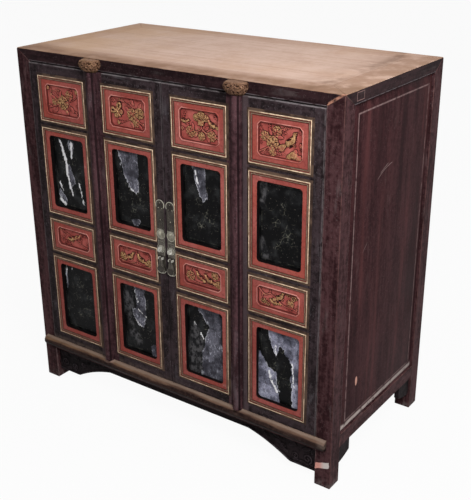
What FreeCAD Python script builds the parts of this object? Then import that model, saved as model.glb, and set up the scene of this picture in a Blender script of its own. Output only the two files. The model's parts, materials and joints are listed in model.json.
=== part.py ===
# Lacquer cabinet: four corner posts, a mitred top frame, a moulded base, two fixed front leaves
# and two doors that turn on wooden pivots held by carved bosses. Millimetres, front towards -Y, +Z up.
import FreeCAD, Part
import Sketcher
import os

# Driving sizes, each one written once and kept in the document's sheet.
DRIVING_SIZES = {
    # carcass
    "cabinet_width": 1000,
    "cabinet_depth": 500,
    "cabinet_height": 1000,
    "post_width": 45,
    "top_rail_height": 30,
    "top_frame_width": 70,
    "top_board_thickness": 14,
    "batten_width": 44,
    "batten_thickness": 14,
    "base_height": 102,
    "bottom_rail_height": 37,
    "floor_board_thickness": 14,
    "carcass_tenon_length": 15,
    "carcass_tenon_thickness": 12,
    "carcass_tenon_shoulder": 7,
    # base moulding, apron and spandrels
    "bead_height": 28,
    "bead_projection": 16,
    "bead_setback": 14,
    "apron_thickness": 16,
    "apron_recess": 12,
    "apron_middle_drop": 24,
    "apron_end_drop": 75,
    "apron_foot_length": 80,
    "apron_slope_length": 128,
    "apron_slope_radius": 430,
    "bracket_length": 62,
    "bracket_drop": 56,
    "bracket_outer_edge": 42,
    "bracket_toe": 9,
    "bracket_radius": 200,
    "bracket_thickness": 14,
    "bracket_recess": 6,
    # sides, back and shelf
    "side_panel_recess": 3,
    "side_panel_field_rise": 5,
    "side_panel_bevel_width": 25,
    "side_panel_edge_thickness": 11,
    "back_board_thickness": 12,
    "back_board_recess": 6,
    "shelf_height": 545,
    "shelf_thickness": 14,
    "bearer_height": 32,
    "bearer_thickness": 16,
    "door_stop_length": 380,
    "door_stop_height": 14,
    "door_stop_thickness": 10,
    "door_stop_clearance": 0.5,
    # leaves
    "leaf_thickness": 24,
    "leaf_proud": 2,
    "leaf_top_gap": 4,
    "leaf_bottom_gap": 3,
    "meeting_gap": 3,
    "meeting_stile_width": 30.5,
    "door_opening_width": 161.5,
    "fixed_inner_stile_width": 20,
    "fixed_outer_stile_width": 33,
    "leaf_top_rail": 31,
    "upper_carved_height": 120,
    "upper_rail": 21,
    "tall_lacquer_height": 243,
    "middle_rail": 21,
    "lower_carved_height": 94,
    "lower_rail": 21,
    "leaf_bottom_rail": 30,
    "leaf_tenon_length": 12,
    "leaf_tenon_thickness": 8,
    "leaf_tenon_shoulder": 4,
    # panels in the leaves
    "moulding_width": 8,
    "moulding_depth": 12,
    "moulding_proud": 3,
    "moulding_outer_line": 2.5,
    "moulding_inner_line": 3,
    "moulding_groove_depth": 2.5,
    "panel_recess": 1,
    "surround_margin": 12,
    "window_corner_radius": 9,
    "lacquer_board_thickness": 6,
    "carved_side_margin": 15,
    "carved_edge_margin": 13,
    "carved_corner_cut": 8,
    "carved_field_depth": 5,
    # pivots of the doors
    "pivot_spacing": 450,
    "pivot_forward": 7,
    "column_radius": 12,
    "column_gap": 1.5,
    "dowel_radius": 5.5,
    "dowel_clearance": 0.05,
    "dowel_end_clearance": 1,
    "top_dowel_length": 16,
    "bottom_dowel_length": 14,
    "boss_width": 66,
    "boss_height": 30.5,
    "boss_projection": 30,
    "boss_corner_radius": 20,
    "boss_edge_radius": 8,
    "boss_gap": 1.5,
    # lock plates and pulls
    "plate_thickness": 1.5,
    "plate_radius": 14,
    "plate_shaft_width": 22,
    "plate_inset": 1,
    "plate_top_height": 667,
    "medallion_drop": 94,
    "eye_drop": 40,
    "pull_drop": 25,
    "plate_tail_length": 45,
    "eye_reach": 8,
    "eye_radius": 6.5,
    "eye_bore_radius": 3.5,
    "eye_thickness": 5,
    "pull_pivot_reach": 5,
    "pull_pin_radius": 1.5,
    "pull_pin_clearance": 0.05,
    "pull_knuckle_radius": 3,
    "pull_knuckle_width": 8,
    "pull_knuckle_gap": 0.4,
    "pull_neck_length": 6,
    "pull_ear_thickness": 2,
    "pull_length": 42,
    "pull_radius": 11.5,
    "pull_thickness": 2.4,
    "nail_radius": 1.8,
    "nail_height": 1.2,
    "nail_edge_distance": 8,
}

# Counts of the boards that make one surface.
TOP_BOARD_COUNT = 4
BATTEN_COUNT = 3
FLOOR_BOARD_COUNT = 4
BACK_BOARD_COUNT = 5
SHELF_BOARD_COUNT = 3

LEFT = -1
RIGHT = 1
SIDE_NAMES = {LEFT: "left", RIGHT: "right"}


class Dim:
    """A length that carries both its number and the sheet expression that gives it."""

    def __init__(self, number, text):
        self.number = number
        self.text = text

    def __add__(self, other):
        return Dim(self.number + other.number, "(%s + %s)" % (self.text, other.text))

    def __sub__(self, other):
        return Dim(self.number - other.number, "(%s - %s)" % (self.text, other.text))

    def __neg__(self):
        return Dim(-self.number, "(0 - %s)" % self.text)

    def __mul__(self, factor):
        return Dim(self.number * factor, "(%s * (%r))" % (self.text, factor))

    def __truediv__(self, factor):
        return Dim(self.number / factor, "(%s / %r)" % (self.text, factor))


doc = FreeCAD.newDocument("LacquerCabinet")
sheet = doc.addObject("Spreadsheet::Sheet", "Sizes")
for row, (size_name, size_number) in enumerate(DRIVING_SIZES.items(), start=1):
    cell = "B%d" % row
    sheet.set(cell, str(size_number))
    sheet.setAlias(cell, size_name)
doc.recompute()


def size(name):
    """The driving size of that name."""
    return Dim(float(sheet.get(name)), "Sizes." + name)


# Helpers that make bound objects

def bind(item, prop, length):
    setattr(item, prop, length.number)
    item.setExpression(prop, length.text)


def place(item, x, y, z, rotation=FreeCAD.Rotation()):
    item.Placement = FreeCAD.Placement(FreeCAD.Vector(x.number, y.number, z.number), rotation)
    item.setExpression(".Placement.Base.x", x.text)
    item.setExpression(".Placement.Base.y", y.text)
    item.setExpression(".Placement.Base.z", z.text)


def make(kind, label):
    item = doc.addObject(kind, label.replace(" ", "_"))
    item.Label = label
    return item


def box(label, x_span, y_span, z_span):
    item = make("Part::Box", label)
    bind(item, "Length", x_span[1] - x_span[0])
    bind(item, "Width", y_span[1] - y_span[0])
    bind(item, "Height", z_span[1] - z_span[0])
    place(item, x_span[0], y_span[0], z_span[0])
    return item


def cylinder(label, radius, height, x, y, z, rotation=FreeCAD.Rotation()):
    item = make("Part::Cylinder", label)
    bind(item, "Radius", radius)
    bind(item, "Height", height)
    place(item, x, y, z, rotation)
    return item


def group(label, pieces):
    item = make("Part::Compound", label)
    item.Links = pieces
    return item


def fuse(label, pieces):
    item = make("Part::MultiFuse", label)
    item.Shapes = pieces
    item.Refine = True
    return item


def cut(label, base, tools):
    item = make("Part::Cut", label)
    item.Base = base
    item.Tool = tools[0] if len(tools) == 1 else group(label + " tools", tools)
    item.Refine = True
    return item


def mirrored_span(side, inner, outer):
    """The x span between two distances from the middle, on one side of the cabinet."""
    return (inner, outer) if side == RIGHT else (-outer, -inner)


def stations(low, high, count):
    """The spans of equal boards that fill low to high."""
    step = (high - low) / count
    return [(low + step * index, low + step * (index + 1)) for index in range(count)]


# Rotations that lay a cylinder's axis along -Y and along +X, and a half cylinder's bulge to the front.
ALONG_FRONT = FreeCAD.Rotation(FreeCAD.Vector(1, 0, 0), 90)
ALONG_WIDTH = FreeCAD.Rotation(FreeCAD.Vector(0, 1, 0), 90)
BULGE_TO_FRONT = FreeCAD.Rotation(
    FreeCAD.Vector(0, 0, 1), FreeCAD.Vector(0, -1, 0), FreeCAD.Vector(1, 0, 0), "ZXY")


# Sketch helpers. A corner is (across, up), and (across, up, radius, turn) starts an arc to the next
# corner, with turn 1 for an arc that runs counterclockwise and -1 for clockwise.

def new_body(label):
    return make("PartDesign::Body", label)


def new_sketch(body, role, offset):
    plane = [feature for feature in body.Origin.OriginFeatures if feature.Role == role][0]
    sketch = body.newObject("Sketcher::SketchObject", body.Name + "_sketch")
    sketch.AttachmentSupport = [(plane, "")]
    sketch.MapMode = "FlatFace"
    sketch.AttachmentOffset = FreeCAD.Placement(FreeCAD.Vector(0, 0, offset.number), FreeCAD.Rotation())
    sketch.setExpression(".AttachmentOffset.Base.z", offset.text)
    return sketch


def arc_between(start, end, radius, turn):
    middle = (start + end) / 2
    chord = end - start
    reach = max(radius ** 2 - (chord.Length / 2) ** 2, 0) ** 0.5
    across = FreeCAD.Vector(-chord.y, chord.x, 0) / chord.Length
    centre = middle + across * (reach * turn)
    first = start if turn > 0 else end
    last = end if turn > 0 else start
    axis_x = FreeCAD.Vector(1, 0, 0)
    normal = FreeCAD.Vector(0, 0, 1)
    from_angle = (first - centre).getAngle(axis_x) * (1 if first.y >= centre.y else -1)
    to_angle = (last - centre).getAngle(axis_x) * (1 if last.y >= centre.y else -1)
    return Part.ArcOfCircle(Part.Circle(centre, normal, radius), from_angle, to_angle)


def bound_distance(sketch, kind, geometry, vertex, length):
    index = sketch.addConstraint(Sketcher.Constraint(kind, -1, 1, geometry, vertex, length.number))
    sketch.setExpression("Constraints[%d]" % index, length.text)


def draw_outline(sketch, corners):
    base = sketch.GeometryCount
    count = len(corners)
    places = [FreeCAD.Vector(corner[0].number, corner[1].number, 0) for corner in corners]
    starts = []
    for index, corner in enumerate(corners):
        start = places[index]
        end = places[(index + 1) % count]
        is_arc = len(corner) > 2
        curve = arc_between(start, end, corner[2].number, corner[3]) if is_arc else Part.LineSegment(start, end)
        sketch.addGeometry(curve, False)
        starts.append(2 if is_arc and corner[3] < 0 else 1)
    for index, corner in enumerate(corners):
        following = (index + 1) % count
        sketch.addConstraint(Sketcher.Constraint(
            "Coincident", base + index, 3 - starts[index], base + following, starts[following]))
        bound_distance(sketch, "DistanceX", base + index, starts[index], corner[0])
        bound_distance(sketch, "DistanceY", base + index, starts[index], corner[1])
        if len(corner) > 2:
            bend = sketch.addConstraint(Sketcher.Constraint("Radius", base + index, corner[2].number))
            sketch.setExpression("Constraints[%d]" % bend, corner[2].text)


def rectangle(across, up):
    return [(across[0], up[0]), (across[1], up[0]), (across[1], up[1]), (across[0], up[1])]


def rounded_rectangle(across, up, radius):
    """Corners of a rectangle whose four corners are quarter rounds."""
    left, right = across
    low, high = up
    return [
        (left + radius, low), (right - radius, low, radius, 1),
        (right, low + radius), (right, high - radius, radius, 1),
        (right - radius, high), (left + radius, high, radius, 1),
        (left, high - radius), (left, low + radius, radius, 1)]


def canted_rectangle(across, up, corner):
    """Corners of a rectangle whose four corners are cut off straight."""
    left, right = across
    low, high = up
    return [
        (left + corner, low), (right - corner, low), (right, low + corner), (right, high - corner),
        (right - corner, high), (left + corner, high), (left, high - corner), (left, low + corner)]


def pad(body, role, outlines, span):
    """Adds material between the two places of span along the plane's normal axis."""
    offset = -span[1] if role == "XZ_Plane" else span[0]
    sketch = new_sketch(body, role, offset)
    for outline in outlines:
        draw_outline(sketch, outline)
    feature = body.newObject("PartDesign::Pad", body.Name + "_pad")
    feature.Profile = sketch
    bind(feature, "Length", span[1] - span[0])
    return feature


def pocket(body, role, outlines, span):
    """Takes material away between the two places of span along the plane's normal axis."""
    offset = -span[0] if role == "XZ_Plane" else span[1]
    sketch = new_sketch(body, role, offset)
    for outline in outlines:
        draw_outline(sketch, outline)
    doc.recompute()
    volume_before = body.Shape.Volume
    feature = body.newObject("PartDesign::Pocket", body.Name + "_pocket")
    feature.Profile = sketch
    bind(feature, "Length", span[1] - span[0])
    doc.recompute()
    if body.Shape.Volume >= volume_before:
        raise RuntimeError("a pocket of %s cuts nothing" % body.Label)
    return feature


nodes = []


def node(item):
    nodes.append(item)
    return item


# Places that several pieces share

half_width = size("cabinet_width") / 2
front = size("boss_projection") / 2 - size("cabinet_depth") / 2
back = front + size("cabinet_depth")
floor_level = size("base_height") * 0
top = size("cabinet_height")
rail_under = top - size("top_rail_height")
post_inner = half_width - size("post_width")
front_inner = front + size("post_width")
back_inner = back - size("post_width")
base_low = size("base_height")
base_top = base_low + size("bottom_rail_height")

leaf_front = front - size("leaf_proud")
leaf_back = leaf_front + size("leaf_thickness")
leaf_low = base_top + size("leaf_bottom_gap")
leaf_high = rail_under - size("leaf_top_gap")

pivot_x = size("pivot_spacing") / 2
pivot_y = front - size("pivot_forward")
column_edge = pivot_x + size("column_radius")
dowel_bore = size("dowel_radius") + size("dowel_clearance")
boss_low = leaf_high + size("boss_gap")

medallion_level = size("plate_top_height") - size("medallion_drop")
eye_level = medallion_level - size("eye_drop")
pull_level = eye_level - size("pull_drop")
plate_low = pull_level - size("plate_tail_length")


# Carcass

def tenoned_rail(label, x_span, y_span, z_span, along_width):
    """A rail with a tenon at each end, and the two mortises that take them."""
    length = size("carcass_tenon_length")
    half_thickness = size("carcass_tenon_thickness") / 2
    shoulder = size("carcass_tenon_shoulder")
    tenon_z = (z_span[0] + shoulder, z_span[1] - shoulder)
    body = box(label + " body", x_span, y_span, z_span)
    if along_width:
        middle = (y_span[0] + y_span[1]) / 2
        tenon_y = (middle - half_thickness, middle + half_thickness)
        tenon = box(label + " tenon", (x_span[0] - length, x_span[1] + length), tenon_y, tenon_z)
        ends = [((x_span[0] - length, x_span[0]), tenon_y, tenon_z),
                ((x_span[1], x_span[1] + length), tenon_y, tenon_z)]
    else:
        middle = (x_span[0] + x_span[1]) / 2
        tenon_x = (middle - half_thickness, middle + half_thickness)
        tenon = box(label + " tenon", tenon_x, (y_span[0] - length, y_span[1] + length), tenon_z)
        ends = [(tenon_x, (y_span[0] - length, y_span[0]), tenon_z),
                (tenon_x, (y_span[1], y_span[1] + length), tenon_z)]
    node(fuse(label, [body, tenon]))
    return ends


def bottom_rails():
    """The four rails of the base. Returns the mortises for each post, by side and by front or back."""
    level = (base_low, base_top)
    between = (-post_inner, post_inner)
    front_ends = tenoned_rail("bottom_rail_front", between, (front, front_inner), level, True)
    back_ends = tenoned_rail("bottom_rail_back", between, (back_inner, back), level, True)
    mortises = {}
    for side in (LEFT, RIGHT):
        span = mirrored_span(side, post_inner, half_width)
        ends = tenoned_rail(
            "bottom_rail_" + SIDE_NAMES[side], span, (front_inner, back_inner), level, False)
        which = 0 if side == LEFT else 1
        mortises[side, "front"] = [front_ends[which], ends[0]]
        mortises[side, "back"] = [back_ends[which], ends[1]]
    return mortises


def corner_posts(mortises):
    """Posts whose heads are cut to a three-way mitre with the top frame."""
    for side in (LEFT, RIGHT):
        for end, outer, inner in (("front", front, front_inner), ("back", back, back_inner)):
            label = "post_%s_%s" % (end, SIDE_NAMES[side])
            body = new_body(label + " body")
            inner_x = post_inner * side
            outer_x = half_width * side
            face = [(inner_x, floor_level), (outer_x, floor_level), (outer_x, top), (inner_x, rail_under)]
            depth = (outer, inner) if end == "front" else (inner, outer)
            pad(body, "XZ_Plane", [face], depth)
            mitre = [(inner, rail_under), (outer, top), (inner, top)]
            pocket(body, "YZ_Plane", [mitre], mirrored_span(side, post_inner, half_width))
            sockets = [box(label + " mortise", *spans) for spans in mortises[side, end]]
            node(cut(label, body, sockets))


def top_frame():
    """Four mitred rails, the boards that they hold and the battens under the boards."""
    width = size("top_frame_width")
    level = (rail_under, top)
    for end, outer, inner in (("front", front, front + width), ("back", back, back - width)):
        body = new_body("top_rail_" + end)
        plan = [(-half_width, outer), (half_width, outer), (half_width - width, inner), (width - half_width, inner)]
        pad(body, "XY_Plane", [plan], level)
        mitres = [
            [(post_inner * side, rail_under), (half_width * side, rail_under), (half_width * side, top)]
            for side in (LEFT, RIGHT)]
        pocket(body, "XZ_Plane", mitres, (outer, inner) if end == "front" else (inner, outer))
        node(body)
    for side in (LEFT, RIGHT):
        body = new_body("top_rail_" + SIDE_NAMES[side])
        outer = half_width * side
        inner = (half_width - width) * side
        plan = [(outer, front), (outer, back), (inner, back - width), (inner, front + width)]
        pad(body, "XY_Plane", [plan], level)
        mitres = [
            [(front_inner, rail_under), (front, rail_under), (front, top)],
            [(back_inner, rail_under), (back, rail_under), (back, top)]]
        pocket(body, "YZ_Plane", mitres, mirrored_span(side, half_width - width, half_width))
        node(body)
    board_low = top - size("top_board_thickness")
    across = (width - half_width, half_width - width)
    boards = [
        box("top board", across, span, (board_low, top))
        for span in stations(front + width, back - width, TOP_BOARD_COUNT)]
    node(group("top_boards", boards))
    battens = []
    for low, high in stations(across[0], across[1], BATTEN_COUNT):
        middle = (low + high) / 2
        half = size("batten_width") / 2
        battens.append(box(
            "top batten", (middle - half, middle + half), (front + width, back - width),
            (board_low - size("batten_thickness"), board_low)))
    node(group("top_battens", battens))


def base_bead():
    """The half-round moulding along the front, bored for the doors' lower pivots."""
    radius = size("bead_height") / 2
    straight = size("bead_projection") - radius
    half_length = half_width - size("bead_setback")
    bead_low = base_top - size("bead_height")
    flat = box("base bead back", (-half_length, half_length), (front - straight, front), (bead_low, base_top))
    bulge = cylinder(
        "base bead round", radius, half_length * 2, -half_length, front - straight, bead_low + radius,
        BULGE_TO_FRONT)
    bulge.Angle = 180
    depth = size("bottom_dowel_length") + size("dowel_end_clearance") - size("leaf_bottom_gap")
    bores = [
        cylinder("base bead bore", dowel_bore, depth, pivot_x * side, pivot_y, base_top - depth)
        for side in (LEFT, RIGHT)]
    node(cut("base_bead", fuse("base bead body", [flat, bulge]), bores))


def apron():
    """The scrolled board between the front legs."""
    middle_low = base_low - size("apron_middle_drop")
    end_low = base_low - size("apron_end_drop")
    foot = post_inner - size("apron_foot_length")
    slope = foot - size("apron_slope_length")
    bend = size("apron_slope_radius")
    outline = [
        (-post_inner, base_low), (-post_inner, end_low), (-foot, end_low, bend, -1), (-slope, middle_low),
        (slope, middle_low, bend, -1), (foot, end_low), (post_inner, end_low), (post_inner, base_low)]
    body = new_body("apron_front")
    face = front + size("apron_recess")
    pad(body, "XZ_Plane", [outline], (face, face + size("apron_thickness")))
    node(body)


def side_brackets():
    """Small curved spandrels between the side rails and the legs."""
    pieces = []
    toe = size("bracket_toe")
    edge_low = base_low - size("bracket_outer_edge")
    drop = base_low - size("bracket_drop")
    outer = half_width - size("bracket_recess")
    inner = outer - size("bracket_thickness")
    for side in (LEFT, RIGHT):
        for end, root, inward, turn in (("front", front_inner, 1, -1), ("back", back_inner, -1, 1)):
            reach = root + size("bracket_length") * inward
            outline = [
                (root, base_low), (reach, base_low), (reach, edge_low, size("bracket_radius"), turn),
                (root + toe * inward, drop), (root, drop)]
            body = new_body("side bracket %s %s" % (end, SIDE_NAMES[side]))
            pad(body, "YZ_Plane", [outline], mirrored_span(side, inner, outer))
            pieces.append(body)
    node(group("side_brackets", pieces))


def side_panels():
    """Raised panels: a flat board and a bevelled field that stands proud of it."""
    rise = size("side_panel_field_rise")
    bevel = size("side_panel_bevel_width")
    field_face = half_width - size("side_panel_recess")
    edge_face = field_face - rise
    inner_face = edge_face - size("side_panel_edge_thickness")
    for side in (LEFT, RIGHT):
        name = "side_panel_" + SIDE_NAMES[side]
        board = box(
            name + " board", mirrored_span(side, inner_face, edge_face), (front_inner, back_inner),
            (base_top, rail_under))
        field = make("Part::Wedge", name + " field")
        length = back_inner - front_inner
        height = rail_under - base_top
        none = length * 0
        bind(field, "Xmin", none)
        bind(field, "Xmax", length)
        bind(field, "X2min", bevel)
        bind(field, "X2max", length - bevel)
        bind(field, "Zmin", none)
        bind(field, "Zmax", height)
        bind(field, "Z2min", bevel)
        bind(field, "Z2max", height - bevel)
        bind(field, "Ymin", none)
        bind(field, "Ymax", rise)
        turn = FreeCAD.Rotation(FreeCAD.Vector(0, 0, 1), -90 * side)
        place(field, edge_face * side, back_inner if side == RIGHT else front_inner, base_top, turn)
        node(fuse(name, [board, field]))


def floor_back_and_shelf():
    floor_low = base_top - size("floor_board_thickness")
    floor = [
        box("floor board", (-post_inner, post_inner), span, (floor_low, base_top))
        for span in stations(front_inner, back_inner, FLOOR_BOARD_COUNT)]
    node(group("floor_boards", floor))
    board_back = back - size("back_board_recess")
    board_face = board_back - size("back_board_thickness")
    boards = [
        box("back board", span, (board_face, board_back), (base_top, rail_under))
        for span in stations(-post_inner, post_inner, BACK_BOARD_COUNT)]
    node(group("back_boards", boards))
    bearer_top = size("shelf_height")
    bearer_z = (bearer_top - size("bearer_height"), bearer_top)
    bearer_front = front_inner - size("bearer_thickness")
    bearer_back = back_inner + size("bearer_thickness")
    between = (-post_inner, post_inner)
    bearers = [
        box("front shelf bearer", between, (bearer_front, front_inner), bearer_z),
        box("back shelf bearer", between, (back_inner, bearer_back), bearer_z)]
    node(group("shelf_bearers", bearers))
    shelf = [
        box("shelf board", between, span, (bearer_top, bearer_top + size("shelf_thickness")))
        for span in stations(bearer_front, bearer_back, SHELF_BOARD_COUNT)]
    node(group("shelf_boards", shelf))
    stop_front = leaf_back + size("door_stop_clearance")
    half_stop = size("door_stop_length") / 2
    node(box(
        "door_stop", (-half_stop, half_stop), (stop_front, stop_front + size("door_stop_thickness")),
        (rail_under - size("door_stop_height"), rail_under)))


def outer_edges(feature, tests):
    """Names of the feature's edges whose middle passes one of the tests."""
    names = []
    for index, edge in enumerate(feature.Shape.Edges, start=1):
        middle = edge.valueAt((edge.FirstParameter + edge.LastParameter) / 2)
        if any(test(edge, middle) for test in tests):
            names.append("Edge%d" % index)
    return names


def pivot_bosses():
    """Rounded blocks on the top rail that take the doors' upper pivots."""
    face = front - size("boss_projection")
    half = size("boss_width") / 2
    boss_top = boss_low + size("boss_height")
    bore_depth = size("top_dowel_length") - size("boss_gap") + size("dowel_end_clearance")
    bosses = []
    for side in (LEFT, RIGHT):
        name = "pivot boss " + SIDE_NAMES[side]
        body = new_body(name + " body")
        centre = pivot_x * side
        block = pad(body, "XZ_Plane", [rectangle((centre - half, centre + half), (boss_low, boss_top))], (face, front))
        doc.recompute()

        def upright(edge, middle):
            along = edge.BoundBox.ZLength > edge.BoundBox.XLength
            return along and abs(middle.y - face.number) < size("boss_edge_radius").number

        corners = body.newObject("PartDesign::Fillet", body.Name + "_corners")
        corners.Base = (block, outer_edges(block, [upright]))
        bind(corners, "Radius", size("boss_corner_radius"))
        doc.recompute()

        def front_arris(edge, middle):
            level = edge.BoundBox.ZLength < size("boss_gap").number
            return level and abs(middle.y - face.number) < size("boss_gap").number

        rounded = body.newObject("PartDesign::Fillet", body.Name + "_arrises")
        rounded.Base = (corners, outer_edges(corners, [front_arris]))
        bind(rounded, "Radius", size("boss_edge_radius"))
        bore = cylinder(name + " bore", dowel_bore, bore_depth, centre, pivot_y, boss_low)
        bosses.append(cut(name, body, [bore]))
    node(group("pivot_bosses", bosses))


# Leaves

def leaf_openings():
    """The four openings of a leaf, from the top, each as its z span."""
    spans = []
    high = leaf_high - size("leaf_top_rail")
    for height, rail in (
            ("upper_carved_height", "upper_rail"), ("tall_lacquer_height", "middle_rail"),
            ("lower_carved_height", "lower_rail")):
        low = high - size(height)
        spans.append((low, high))
        high = low - size(rail)
    spans.append((leaf_low + size("leaf_bottom_rail"), high))
    return spans


OPENINGS = leaf_openings()
UPPER_CARVED, TALL_LACQUER, LOWER_CARVED, LOW_LACQUER = OPENINGS


def leaf_rails():
    """The z spans of a leaf's five rails, from the top."""
    edges = [leaf_high]
    for low, high in OPENINGS:
        edges += [high, low]
    edges.append(leaf_low)
    return [(edges[index + 1], edges[index]) for index in range(0, len(edges), 2)]


def leaf_frame(name, side, inner, outer):
    """Five tenoned rails between inner and outer. Returns the mortise spans of the two stiles."""
    length = size("leaf_tenon_length")
    middle = (leaf_front + leaf_back) / 2
    half = size("leaf_tenon_thickness") / 2
    tenon_y = (middle - half, middle + half)
    rails = []
    inner_mortises = []
    outer_mortises = []
    for low, high in leaf_rails():
        tenon_z = (low + size("leaf_tenon_shoulder"), high - size("leaf_tenon_shoulder"))
        bar = box(name + " rail bar", mirrored_span(side, inner, outer), (leaf_front, leaf_back), (low, high))
        tenon_x = mirrored_span(side, inner - length, outer + length)
        tenon = box(name + " rail tenon", tenon_x, tenon_y, tenon_z)
        rails.append(fuse(name + " rail", [bar, tenon]))
        inner_mortises.append((mirrored_span(side, inner - length, inner), tenon_y, tenon_z))
        outer_mortises.append((mirrored_span(side, outer, outer + length), tenon_y, tenon_z))
    node(group(name + "_rails", rails))
    return inner_mortises, outer_mortises


def mortised(label, blank, mortises):
    return cut(label, blank, [box(label + " mortise", *spans) for spans in mortises])


def moulding_ring(name, across, up):
    """A gilt moulding round one opening: two raised lines with a groove between them."""
    width = size("moulding_width")
    outer_line = size("moulding_outer_line")
    inner_line = width - size("moulding_inner_line")
    face = leaf_front - size("moulding_proud")
    depth = (face, leaf_front + size("moulding_depth"))
    groove_depth = (face, face + size("moulding_groove_depth"))

    def inset(label, distance, y_span):
        return box(
            label, (across[0] + distance, across[1] - distance), y_span, (up[0] + distance, up[1] - distance))

    blank = box(name + " blank", across, depth, up)
    opening = inset(name + " opening", width, depth)
    groove_outer = inset(name + " groove outer", outer_line, groove_depth)
    groove_inner = inset(name + " groove inner", inner_line, groove_depth)
    groove = cut(name + " groove", groove_outer, [groove_inner])
    return cut(name, cut(name + " ring", blank, [opening]), [groove])


def leaf_panels(name, side, inner, outer):
    """The carved boards, red surrounds, lacquer boards and gilt mouldings of one leaf."""
    rim = size("moulding_width")
    across = mirrored_span(side, inner, outer)
    within = (across[0] + rim, across[1] - rim)
    panel_front = leaf_front + size("panel_recess")
    panel_back = leaf_front + size("moulding_depth")
    board_back = panel_back + size("lacquer_board_thickness")

    surrounds = []
    boards = []
    for label, up in (("tall", TALL_LACQUER), ("low", LOW_LACQUER)):
        margin = size("surround_margin")
        height = (up[0] + rim, up[1] - rim)
        window = rounded_rectangle(
            (within[0] + margin, within[1] - margin), (height[0] + margin, height[1] - margin),
            size("window_corner_radius"))
        body = new_body("%s %s surround" % (name, label))
        pad(body, "XZ_Plane", [rectangle(within, height), window], (panel_front, panel_back))
        surrounds.append(body)
        boards.append(box("%s %s board" % (name, label), across, (panel_back, board_back), up))
    node(group(name + "_red_surrounds", surrounds))
    node(group(name + "_lacquer_boards", boards))

    carved = []
    for label, up in (("upper", UPPER_CARVED), ("lower", LOWER_CARVED)):
        body = new_body("%s %s carved board" % (name, label))
        height = (up[0] + rim, up[1] - rim)
        pad(body, "XZ_Plane", [rectangle(across, up)], (panel_back, board_back))
        pad(body, "XZ_Plane", [rectangle(within, height)], (panel_front, panel_back))
        side_margin = size("carved_side_margin")
        edge_margin = size("carved_edge_margin")
        field = canted_rectangle(
            (within[0] + side_margin, within[1] - side_margin),
            (height[0] + edge_margin, height[1] - edge_margin), size("carved_corner_cut"))
        pocket(body, "XZ_Plane", [field], (panel_front, panel_front + size("carved_field_depth")))
        carved.append(body)
    node(group(name + "_carved_boards", carved))

    rings = [moulding_ring("%s moulding %d" % (name, index), across, up) for index, up in enumerate(OPENINGS)]
    node(group(name + "_gilt_mouldings", rings))


def fixed_leaf(side):
    name = "fixed_leaf_" + SIDE_NAMES[side]
    edge = column_edge + size("column_gap")
    inner = edge + size("fixed_inner_stile_width")
    outer = post_inner - size("fixed_outer_stile_width")
    inner_mortises, outer_mortises = leaf_frame(name, side, inner, outer)
    depth = (leaf_front, leaf_back)
    height = (leaf_low, leaf_high)
    inner_blank = box(name + " inner stile blank", mirrored_span(side, edge, inner), depth, height)
    outer_blank = box(name + " outer stile blank", mirrored_span(side, outer, post_inner), depth, height)
    node(group(name + "_stiles", [
        mortised(name + " inner stile", inner_blank, inner_mortises),
        mortised(name + " outer stile", outer_blank, outer_mortises)]))
    leaf_panels(name, side, inner, outer)


def door(side):
    name = "door_" + SIDE_NAMES[side]
    edge = size("meeting_gap") / 2
    inner = edge + size("meeting_stile_width")
    outer = inner + size("door_opening_width")
    inner_mortises, outer_mortises = leaf_frame(name, side, inner, outer)
    depth = (leaf_front, leaf_back)
    height = (leaf_low, leaf_high)
    meeting_blank = box(name + " meeting blank", mirrored_span(side, edge, inner), depth, height)
    node(mortised(name + "_meeting_stile", meeting_blank, inner_mortises))

    plank = box(name + " pivot plank", mirrored_span(side, outer, column_edge), depth, height)
    axis = (pivot_x * side, pivot_y)
    column = cylinder(name + " column", size("column_radius"), leaf_high - leaf_low, *axis, leaf_low)
    dowel_low = leaf_low - size("bottom_dowel_length")
    dowel_high = leaf_high + size("top_dowel_length")
    dowel = cylinder(name + " dowel", size("dowel_radius"), dowel_high - dowel_low, *axis, dowel_low)
    blank = fuse(name + " pivot blank", [plank, column, dowel])
    node(mortised(name + "_pivot_stile", blank, outer_mortises))
    leaf_panels(name, side, inner, outer)
    lock_plate(name, side)


# Lock plates and pulls

def lock_plate(name, side):
    radius = size("plate_radius")
    centre = (size("meeting_gap") / 2 + size("plate_inset") + radius) * side
    face = leaf_front - size("plate_thickness")
    lowest = plate_low + radius
    highest = size("plate_top_height") - radius

    def lobe(label, level):
        return cylinder(
            "%s plate %s" % (name, label), radius, size("plate_thickness"), centre, leaf_front, level, ALONG_FRONT)

    half_shaft = size("plate_shaft_width") / 2
    shaft = box(name + " plate shaft", (centre - half_shaft, centre + half_shaft), (face, leaf_front), (lowest, highest))
    lobes = [
        lobe("top", highest), lobe("medallion", medallion_level), lobe("eye seat", eye_level),
        lobe("bottom", lowest)]
    node(fuse(name + "_lock_plate", [shaft] + lobes))

    node(group(name + "_lock_fittings", [lock_eye(name, centre, face), pull_staple(name, centre, face)]))

    distance = size("nail_edge_distance")
    levels = [
        size("plate_top_height") - distance, (highest + medallion_level) / 2, plate_low + distance]
    nails = [
        cylinder(name + " nail", size("nail_radius"), size("nail_height"), centre, face, level, ALONG_FRONT)
        for level in levels]
    node(group(name + "_plate_nails", nails))
    drop_pull(name, centre, face)


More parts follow.
